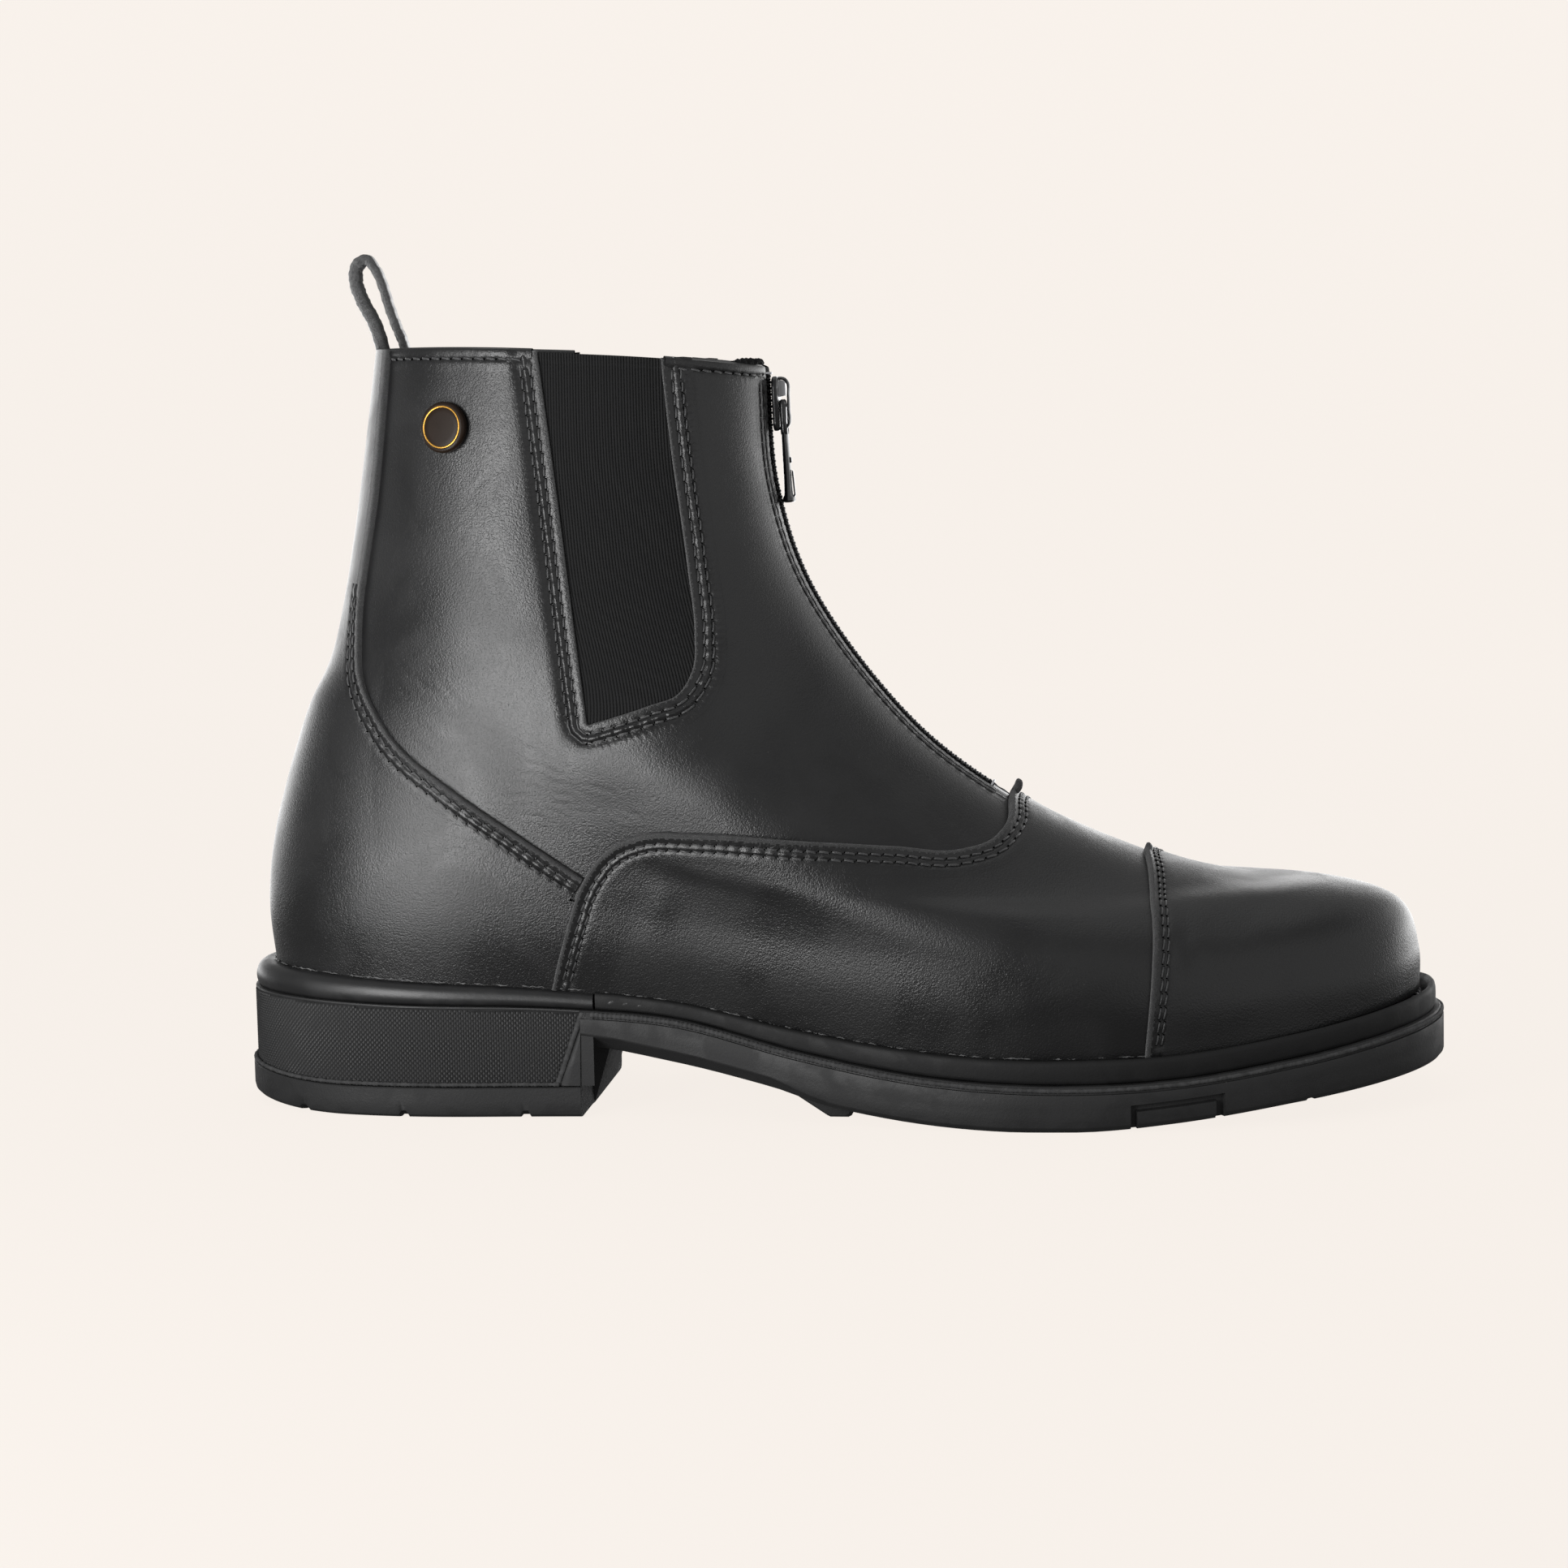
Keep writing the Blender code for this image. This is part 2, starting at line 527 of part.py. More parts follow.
def build_outsole():
    """Rubber sole and heel in one moulding, with its side steps, grooves and lug."""
    stations = sole_stations()
    turns = ring_turns(stations)
    x = np.concatenate([stations, stations[-2:0:-1]])
    reach = outsole_reach(upper_face(0.0, turns)[:, 0])
    heel = x < BREAST_X
    ledge = sole_height("ledge", x)
    kick = HEEL_KICK * np.clip((HEEL_KICK_X - x) / (HEEL_KICK_X - x.min()), 0, 1) ** 2
    under = np.where(heel, kick, np.maximum(sole_height("under", x), 0.0))
    bevel = np.where(heel, HEEL_EDGE, sole_height("bevel", x))
    panel = np.clip((PANEL_FRONT - x) / PANEL_EASE, 0, 1)
    rings = [at_height(plan_points(turns, reach - bevel), under)]
    for step in SIDE_STEPS:
        at_heel = step.heel_setback * (panel if step.in_panel else 1.0)
        setback = np.where(heel, at_heel, step.fore_setback)
        lift = kick if step.heel_height < PANEL_TOP else 0.0
        height = np.where(heel, step.heel_height + lift, under + step.fore_share * (ledge - under))
        rings.append(at_height(plan_points(turns, reach - setback), height))
    rings.append(at_height(plan_points(turns, reach - LEDGE_SETBACK), ledge))
    inside = plan_points(turns, np.full(len(x), -SEAT_REBATE))
    rings.append(at_height(inside, sole_height("ledge", inside[:, 0])))
    rings.append(at_height(inside, sole_height("seat", inside[:, 0]) - GAP))
    sole = stacked("outsole", rings, RUBBER)
    lug = prism("lug form", LUG_OUTLINE, -LUG_HALF_WIDTH, LUG_HALF_WIDTH)
    combine(sole, lug, "UNION")
    for number, groove in enumerate(TREAD_GROOVES):
        floor = 0.0 if groove.x < BREAST_X else float(sole_height("under", groove.x))
        half = groove.width / 2
        outline = (
            (groove.x - half, floor - groove.depth), (groove.x + half, floor - groove.depth),
            (groove.x + half, floor), (groove.x + GROOVE_TAPER * half, floor + groove.depth),
            (groove.x - GROOVE_TAPER * half, floor + groove.depth), (groove.x - half, floor),
        )
        combine(sole, prism("groove form %d" % number, outline, -WINDOW_FAR, WINDOW_FAR), "DIFFERENCE")


def edge_strip(name, turns, setback, shoulder, finish):
    """Strip that lies on the outsole's ledge and carries the upper's edge."""
    line = upper_face(0.0, turns)
    reach = outsole_reach(line[:, 0]) - setback
    inner = np.full(len(turns), GAP - SEAT_REBATE)
    corners = (
        (inner, 0.0), (reach, 0.0), (reach + STRIP_BULGE, 0.45), (reach - shoulder, 0.9),
        (reach - 2.0 * shoulder, 1.0), (inner, 1.0),
    )
    sections = []
    for offset, share in corners:
        plan = plan_points(turns, offset)
        low = sole_height("ledge", plan[:, 0]) + GAP
        high = sole_height("seat", plan[:, 0]) - GAP
        sections.append(at_height(plan, low + (high - low) * share))
    return sweep(name, np.stack(sections, axis=1), finish)


def build_welt_and_rand():
    """Welt round the forepart and rounded rand round the heel, butted at the waist."""
    turns = np.linspace(0.2, 3.0, 400)
    joint = np.interp(-JOINT_X, -upper_face(0.0, turns)[:, 0], turns)
    clear = GAP / 2 / HALF_LENGTH
    around_forepart = np.linspace(-joint + clear, joint - clear, 45)
    edge_strip("welt", around_forepart, WELT_SETBACK, WELT_SHOULDER, RUBBER)
    around_heel = np.linspace(joint + clear, 2 * np.pi - joint - clear, 27)
    edge_strip("heel_rand", around_heel, RAND_SETBACK, RAND_SHOULDER, RUBBER)


def build_insole():
    """Insole that lies on the outsole's seat inside the upper."""
    stations = sole_stations()
    turns = ring_turns(stations)
    plan = plan_points(turns, np.full(len(turns), -(WALL + 2 * GAP)))
    seat = sole_height("seat", plan[:, 0])
    stacked("insole", [at_height(plan, seat), at_height(plan, seat + INSOLE_THICKNESS)], LINING)


def gore_prism(name, margin, outer_side):
    """Form of a gore's window, drawn in by a margin all round."""
    outline = np.array(GORE_OUTLINE)
    before = np.roll(outline, 1, axis=0)
    after = np.roll(outline, -1, axis=0)
    along = after - before
    inward = np.stack([-along[:, 1], along[:, 0]], axis=-1)
    inward = inward / np.linalg.norm(inward, axis=1, keepdims=True)
    side = -1.0 if outer_side else 1.0
    return prism(name, outline + inward * margin, side * WINDOW_NEAR, side * WINDOW_FAR)


def front_line(level):
    """Front line of the upper with its outward and upward directions, in the middle plane."""
    level = np.asarray(level, float)
    point = upper_face(level, np.zeros_like(level))
    up = upper_face(level + 1e-3, np.zeros_like(level)) - upper_face(level - 1e-3, np.zeros_like(level))
    up = up / np.linalg.norm(up, axis=-1, keepdims=True)
    out = np.stack([up[..., 2], np.zeros_like(level), -up[..., 0]], axis=-1)
    return point, out, up


def build_upper():
    """Hollow upper, open at collar and sole, with windows for the gores and a slot for the zip."""
    turns = np.linspace(0, 2 * np.pi, ROUND_STEPS, endpoint=False)
    levels = np.linspace(0, 1, LEVEL_STEPS + 1)
    sections = []
    for turn in turns:
        outside = offset_face(levels, turn, 0.0)
        inside = offset_face(levels, turn, -WALL)
        inside[0, 2] = outside[0, 2]
        sections.append(np.concatenate([outside, inside[::-1]]))
    upper = sweep("upper", sections, LEATHER, closed=True)
    point, out, up = front_line(np.linspace(ZIP_FOOT - ZIP_ROOM, 0.999, 16))
    point = np.concatenate([point, point[-1:] + ZIP_SLOT * up[-1:]])
    out = np.concatenate([out, out[-1:]])
    half = ZIP_SLOT / 2
    corners = ((-half, -ZIP_SLOT), (half, -ZIP_SLOT), (half, ZIP_SLOT), (-half, ZIP_SLOT))
    slot = sweep("zip slot form", np.stack([point + y * ACROSS + rise * out for y, rise in corners], axis=1))
    combine(upper, slot, "DIFFERENCE")
    for name, outer_side in (("outer gore window form", True), ("inner gore window form", False)):
        combine(upper, gore_prism(name, 0.0, outer_side), "DIFFERENCE")


def build_gores():
    """Elastic panels in the windows of both sides."""
    levels = np.linspace(GORE_FOOT, GORE_HEAD, 15)
    for name, side in (("gore_outer", 1.0), ("gore_inner", -1.0)):
        turns = side * np.linspace(GORE_FRONT_TURN, GORE_BACK_TURN, 9)
        grid = np.stack(np.meshgrid(levels, turns, indexing="ij"), axis=-1)
        gore = slab(name, grid, -GORE_BACK, -GORE_RECESS, ELASTIC)
        combine(gore, gore_prism(name + " edge form", GAP, side > 0), "INTERSECT")


def seams():
    """Seam curves on the outer side as (level, turn): toe cap, vamp and counter."""
    cap = np.concatenate([[[SEAM_LEVEL_CAP, 0.0]], locate(CAP_SEAM)])
    cap[-1, 0] = LIFT_OFF
    vamp = np.concatenate([[[SEAM_LEVEL_VAMP, 0.0]], locate(VAMP_SEAM)])
    vamp[-1, 0] = LIFT_OFF
    counter = locate(COUNTER_EDGE)
    counter[0, 0] = 0.999
    return cap, vamp, counter


def build_overlays():
    """Toe cap, vamp and heel counter laid over the upper, each with its own step."""
    cap, vamp, counter = seams()
    butt = np.array([GAP / 220, GAP / 90])
    toward_toe = butt * np.stack([cap[:, 0] > 0.1, cap[:, 1] > 0.0], axis=-1)
    cap_line = seam_curve(cap - toward_toe, over_front=True)
    toe_point = (LIFT_OFF, 0.0)
    toe_grid = patch(
        straight(cap_line(1.0), toe_point), part_of(cap_line, SEAM_MIDDLE, 0.0),
        part_of(cap_line, 1.0, SEAM_MIDDLE), straight(toe_point, cap_line(0.0)), 8, 8)
    slab("toe_cap", mirrored(toe_grid), CAP_GAP, CAP_LAP, LEATHER)

    vamp_front = seam_curve(cap + toward_toe, over_front=True)
    vamp_back = seam_curve(vamp, over_front=True)
    share = np.linspace(0, 1, 13)[:, None, None]
    across = np.concatenate([np.linspace(1, SEAM_MIDDLE, 9), np.linspace(SEAM_MIDDLE, 0, 9)[1:]])
    vamp_grid = (1 - share) * vamp_front(across)[None] + share * vamp_back(across)[None]
    slab("vamp", mirrored(vamp_grid), OVERLAY_GAP, VAMP_LAP, LEATHER)

    butt_line = np.concatenate([counter, vamp[-3:] + [0.0, 2 * butt[1]]])
    counter_edge = seam_curve(butt_line)
    edge = counter_edge(np.linspace(1, 0, 20))
    back = np.stack([edge[:, 0], np.full(len(edge), np.pi)], axis=-1)
    share = np.linspace(0, 1, 11)[None, :, None]
    counter_grid = (1 - share) * edge[:, None] + share * back[:, None]
    slab("heel_counter", mirrored(counter_grid), OVERLAY_GAP, COUNTER_LAP, LEATHER)


def build_zip():
    """Zip: tape with the raised chain of teeth, slider with its bridge, and pull tab."""
    point, out, up = front_line(np.linspace(ZIP_FOOT, ZIP_HEAD, 26))
    profile = [(half, rise) for half, rise in ZIP_PROFILE]
    profile = profile + [(-half, rise) for half, rise in reversed(ZIP_PROFILE)]
    sections = np.stack([point + y * ACROSS + rise * out for y, rise in profile], axis=1)
    sweep("zip", sections, ELASTIC)

    point, out, up = front_line(SLIDER_LEVEL)

    def in_slider(along, y, rise):
        return point + along * up + y * ACROSS + rise * out

    base = CHAIN_RISE + GAP
    plate = base + SLIDER_PLATE
    edge = [(along, half) for along, half in SLIDER_PLATE_EDGE]
    edge = edge + [(along, -half) for along, half in reversed(SLIDER_PLATE_EDGE)]
    sections = [[in_slider(along, y, rise) for along, y in edge] for rise in (base, plate)]
    slider = sweep("zip_slider", sections, BLACK_METAL)
    reach = BRIDGE_LENGTH / 2
    inner_top = plate + BRIDGE_GAP
    outer_top = inner_top + BRIDGE_BAR
    foot = plate - BRIDGE_ROOT
    post = reach - BRIDGE_BAR
    arch = (
        (-reach, foot), (-reach, inner_top), (-post, outer_top), (post, outer_top), (reach, inner_top),
        (reach, foot), (post, foot), (post, inner_top), (-post, inner_top), (-post, foot),
    )
    sides = (-BRIDGE_WIDTH / 2, BRIDGE_WIDTH / 2)
    bridge = sweep("slider bridge form", [[in_slider(a, y, r) for a, r in arch] for y in sides])
    combine(slider, bridge, "UNION")

    pivot = in_slider(0.0, 0.0, plate + BRIDGE_GAP / 2)
    line, line_out, _ = front_line(np.linspace(ZIP_FOOT, SLIDER_LEVEL, 90))
    distance = np.linalg.norm(line + PULL_FOOT_CLEARANCE * line_out - pivot, axis=1)
    nearest = np.argmin(np.abs(distance - PULL_LENGTH))
    down = line[nearest] + PULL_FOOT_CLEARANCE * line_out[nearest] - pivot
    down[1] = 0.0
    down = down / np.linalg.norm(down)
    face = np.array([-down[2], 0.0, down[0]])
    sections = []
    for section in PULL_SECTIONS:
        corners = ((-1, -1), (1, -1), (1, 1), (-1, 1))
        sections.append([pivot + section.along * down + a * section.half_width * ACROSS
                         + b * section.half_thickness * face for a, b in corners])
    pull = sweep("zip_pull", sections, BLACK_METAL, pivot=pivot)
    eye_half = PULL_EYE_WIDTH / 2
    deep = PULL_EYE_WIDTH
    corners = ((-eye_half, -deep), (eye_half, -deep), (eye_half, deep), (-eye_half, deep))
    eye = [[pivot + along * down + y * ACROSS + b * face for y, b in corners]
           for along in (PULL_BAR / 2, PULL_BAR / 2 + PULL_EYE_LENGTH)]
    combine(pull, sweep("pull eye form", eye), "DIFFERENCE")


def build_badge():
    """Small domed round badge on the outer side, plain."""
    centre = upper_face(BADGE_LEVEL, BADGE_TURN)
    axis = upper_normal(BADGE_LEVEL, BADGE_TURN)
    right = np.cross([0.0, 0.0, 1.0], axis)
    right = right / np.linalg.norm(right)
    above = np.cross(axis, right)
    radius = BADGE_DIAMETER / 2
    angle = np.linspace(0, 2 * np.pi, 20, endpoint=False)
    circle = np.cos(angle)[:, None] * right + np.sin(angle)[:, None] * above
    sections = [centre + (radius - ring.setback) * circle + (GAP + ring.rise) * axis for ring in BADGE_RINGS]
    sweep("badge_stud", sections, BRONZE)


def build_pull_loop():
    """Folded strap at the back of the collar, sewn in at the rim."""
    route = np.array(PULL_LOOP_PATH)
    length = np.concatenate([[0.0], np.cumsum(np.linalg.norm(np.diff(route, axis=0), axis=1))])
    share = np.linspace(0, length[-1], 31)
    line = smooth_through(length, route, share)
    along = smooth_through(length, route, share + 0.2) - smooth_through(length, route, share - 0.2)
    along = along / np.linalg.norm(along, axis=1, keepdims=True)
    side = np.stack([-along[:, 1], along[:, 0]], axis=-1) * LOOP_THICKNESS / 2
    half = LOOP_WIDTH / 2
    sections = []
    for middle, step in zip(line, side):
        corners = ((middle - step, -half), (middle + step, -half), (middle + step, half), (middle - step, half))
        sections.append([(spot[0] + LOOP_YAW * y, y, spot[1]) for spot, y in corners])
    sweep("pull_loop", sections, SUEDE)


def main():
    """Build the boot from the floor up."""
    for thing in list(bpy.data.objects):
        bpy.data.objects.remove(thing, do_unlink=True)
    build_outsole()
    build_welt_and_rand()
    build_insole()
    build_upper()
    build_overlays()
    build_gores()
    build_zip()
    build_badge()
    build_pull_loop()


main()
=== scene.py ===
"""Looks of a jodhpur boot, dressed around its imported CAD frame.

The boot is a right one, seen from its outer side: +X runs to the toe, -Y is the
outer side of the foot, +Z is up and the floor is z = 0. Sizes are written in
millimetres and scaled to metres where a mesh is made.
"""

import logging
import math
from collections.abc import Callable, Sequence
from dataclasses import dataclass, field
from enum import Enum
from typing import NamedTuple

import bmesh
import bpy
import numpy as np
from mathutils import Matrix, Vector

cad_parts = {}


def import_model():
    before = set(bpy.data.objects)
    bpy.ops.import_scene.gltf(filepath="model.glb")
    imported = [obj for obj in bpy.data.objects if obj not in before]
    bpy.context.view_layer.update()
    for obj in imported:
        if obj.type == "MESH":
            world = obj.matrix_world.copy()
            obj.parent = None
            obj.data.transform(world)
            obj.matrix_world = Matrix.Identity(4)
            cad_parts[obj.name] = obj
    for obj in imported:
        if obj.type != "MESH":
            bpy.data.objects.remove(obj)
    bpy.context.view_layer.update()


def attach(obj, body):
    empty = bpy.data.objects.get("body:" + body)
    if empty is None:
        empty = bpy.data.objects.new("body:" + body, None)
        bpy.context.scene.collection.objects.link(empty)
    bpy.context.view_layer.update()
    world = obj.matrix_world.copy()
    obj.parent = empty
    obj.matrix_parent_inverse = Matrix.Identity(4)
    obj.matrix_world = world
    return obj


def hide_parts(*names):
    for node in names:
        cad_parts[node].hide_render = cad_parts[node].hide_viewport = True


LOG = logging.getLogger("jodhpur boot")
MM = 0.001

Array = np.ndarray
Colour = tuple[float, float, float]
Place = tuple[float, float, float]
Span = tuple[float, float]
Socket = bpy.types.NodeSocket
Rise = Callable[[Array, Array], Array]

ACROSS = np.array([0.0, 1.0, 0.0])
UPWARD = np.array([0.0, 0.0, 1.0])
WELD_DISTANCE = 2e-6
DUST_SIZE = 3.0
DUST_COLOUR = (0.18, 0.17, 0.16, 1.0)


class Level(NamedTuple):
    """One loop of the last: ends in the side view, half widths, rounding of the ends."""

    name: str
    front_x: float
    front_z: float
    back_x: float
    back_z: float
    toe: float
    ball: float
    waist: float
    heel: float
    nose: float
    tail: float


class Station(NamedTuple):
    """Place along a loop where a half width holds, with the loop's sway there."""

    name: str
    share: float
    sway: float


class SoleRow(NamedTuple):
    """Heights and reach of the sole at one place along the boot."""

    name: str
    x: float
    seat: float
    ledge: float
    under: float
    reach: float


class Spot(NamedTuple):
    """A point in the side view."""

    x: float
    z: float


LEVELS = (
    Level("feather line", 141.4, 27.5, -141.6, 35.5, 44.0, 45.5, 28.5, 30.5, 0.26, 0.20),
    Level("toe wall", 141.2, 37.0, -142.8, 48.0, 45.0, 47.0, 31.5, 32.5, 0.29, 0.21),
    Level("toe brow", 137.4, 46.6, -142.3, 58.0, 45.0, 47.0, 33.0, 33.5, 0.38, 0.22),
    Level("toe crown", 122.5, 51.1, -140.5, 69.0, 45.0, 46.5, 34.5, 33.5, 0.50, 0.23),
    Level("cap top", 98.0, 52.8, -137.8, 79.0, 45.0, 46.0, 35.5, 33.5, 0.60, 0.25),
    Level("cap seam", 73.0, 60.2, -134.6, 89.0, 44.5, 45.5, 36.5, 33.5, 0.63, 0.27),
    Level("vamp point", 46.0, 73.0, -130.6, 100.0, 43.5, 44.5, 37.0, 33.0, 0.60, 0.30),
    Level("instep", 19.6, 93.2, -124.6, 112.0, 40.0, 41.0, 37.0, 33.0, 0.56, 0.35),
    Level("ankle", -3.4, 124.0, -120.2, 129.0, 36.0, 36.5, 36.0, 33.0, 0.50, 0.41),
    Level("shaft", -13.0, 152.0, -115.7, 154.0, 33.0, 33.5, 33.5, 32.5, 0.50, 0.46),
    Level("collar", -14.8, 182.0, -110.6, 188.2, 31.5, 31.5, 31.5, 31.5, 0.50, 0.50),
)
STATIONS = (
    Station("toe", 0.116, 2.3),
    Station("ball", 0.325, -0.7),
    Station("waist", 0.620, -2.2),
    Station("heel", 0.883, -0.7),
)
SOLE_ROWS = (
    SoleRow("heel back", -150.0, 35.8, 29.4, 12.0, 8.9),
    SoleRow("heel side", -112.0, 34.0, 28.0, 12.0, 5.0),
    SoleRow("breast", -61.0, 31.0, 26.6, 17.0, 4.6),
    SoleRow("waist", -38.0, 28.4, 24.6, 12.8, 5.0),
    SoleRow("shank", -8.0, 22.3, 17.6, 6.0, 5.6),
    SoleRow("ball back", 22.0, 18.2, 12.8, 1.4, 6.2),
    SoleRow("ball", 46.0, 16.7, 11.2, 0.0, 6.5),
    SoleRow("tread", 62.0, 16.7, 11.0, 0.0, 6.6),
    SoleRow("forepart", 84.0, 17.5, 12.0, 1.7, 7.0),
    SoleRow("toe", 112.0, 21.0, 15.4, 5.0, 7.6),
    SoleRow("toe tip", 152.0, 28.2, 22.2, 10.2, 8.6),
)

CAP_SEAM = (Spot(77.0, 57.8), Spot(78.4, 52.4), Spot(79.2, 45.4), Spot(78.9, 36.6), Spot(77.2, 17.4))
CAP_RIDGE_LEVEL = 0.486
VAMP_SEAM = (
    Spot(44.3, 70.4), Spot(41.0, 66.0), Spot(32.5, 63.8), Spot(17.4, 65.5), Spot(-1.7, 67.7),
    Spot(-31.0, 70.0), Spot(-42.0, 69.8), Spot(-51.5, 65.8), Spot(-58.0, 57.7), Spot(-62.6, 45.5),
    Spot(-66.9, 32.0),
)
VAMP_RIDGE_LEVEL = 0.608
COUNTER_EDGE = (
    Spot(-105.8, 187.0), Spot(-109.4, 154.3), Spot(-114.6, 118.0), Spot(-114.2, 108.5), Spot(-106.7, 94.4),
    Spot(-89.2, 79.8), Spot(-73.5, 68.8), Spot(-58.6, 58.6),
)
GORE_EDGE = (
    Spot(-66.8, 186.0), Spot(-61.3, 141.0), Spot(-56.5, 101.0), Spot(-56.1, 97.6), Spot(-55.9, 96.7),
    Spot(-55.2, 96.5), Spot(-54.2, 96.8), Spot(-51.0, 97.7), Spot(-40.4, 101.0), Spot(-33.4, 103.6),
    Spot(-29.8, 109.6), Spot(-29.4, 118.0), Spot(-31.1, 133.6), Spot(-34.6, 161.0), Spot(-36.9, 186.0),
)
COLLAR_LEVEL = 0.998


class Side(Enum):
    """Outer or inner side of the foot, with the sign of its turns."""

    OUTER = 1.0
    INNER = -1.0


def smooth_through(knots: Array, values: Array, at: Array) -> Array:
    """Smooth curve through values at the knots.

    Args:
        knots: rising places of the values.
        values: one value or row for each knot.
        at: places to read.

    Returns:
        The values at those places.
    """
    knots = np.asarray(knots, float)
    values = np.asarray(values, float)
    at = np.clip(np.asarray(at, float), knots[0], knots[-1])
    step = np.diff(knots)
    shape = (-1,) + (1,) * (values.ndim - 1)
    slope = np.diff(values, axis=0) / step.reshape(shape)
    weight = (step[:-1] / (step[:-1] + step[1:])).reshape(shape)
    tangent = np.concatenate([slope[:1], slope[:-1] * (1 - weight) + slope[1:] * weight, slope[-1:]])
    i = np.clip(np.searchsorted(knots, at, side="right") - 1, 0, len(step) - 1)
    spread = (...,) + (None,) * (values.ndim - 1)
    h = step[i][spread]
    t = ((at - knots[i]) / step[i])[spread]
    near = (1 + 2 * t) * (1 - t) ** 2 * values[i] + t * (1 - t) ** 2 * h * tangent[i]
    far = t * t * (3 - 2 * t) * values[i + 1] + t * t * (t - 1) * h * tangent[i + 1]
    return near + far


def unit(vectors: Array) -> Array:
    """The vectors at length one."""
    return vectors / np.maximum(np.linalg.norm(vectors, axis=-1, keepdims=True), 1e-12)


def ease(value: Array, start: float, end: float) -> Array:
    """Soft step from 0 at start to 1 at end."""
    t = np.clip((np.asarray(value, float) - start) / (end - start), 0, 1)
    return t * t * (3 - 2 * t)


def run_length(points: Array) -> Array:
    """Length along a line of points up to each of them."""
    return np.concatenate([[0.0], np.cumsum(np.linalg.norm(np.diff(points, axis=0), axis=1))])


def with_height(plan: Array, z: Array) -> Array:
    """Points from their places in plan and their heights."""
    return np.concatenate([plan, z[..., None]], axis=-1)


def split(places: Array) -> Array:
    """The levels and the turns of rows of (level, turn), ready to unpack."""
    return np.moveaxis(places, -1, 0)


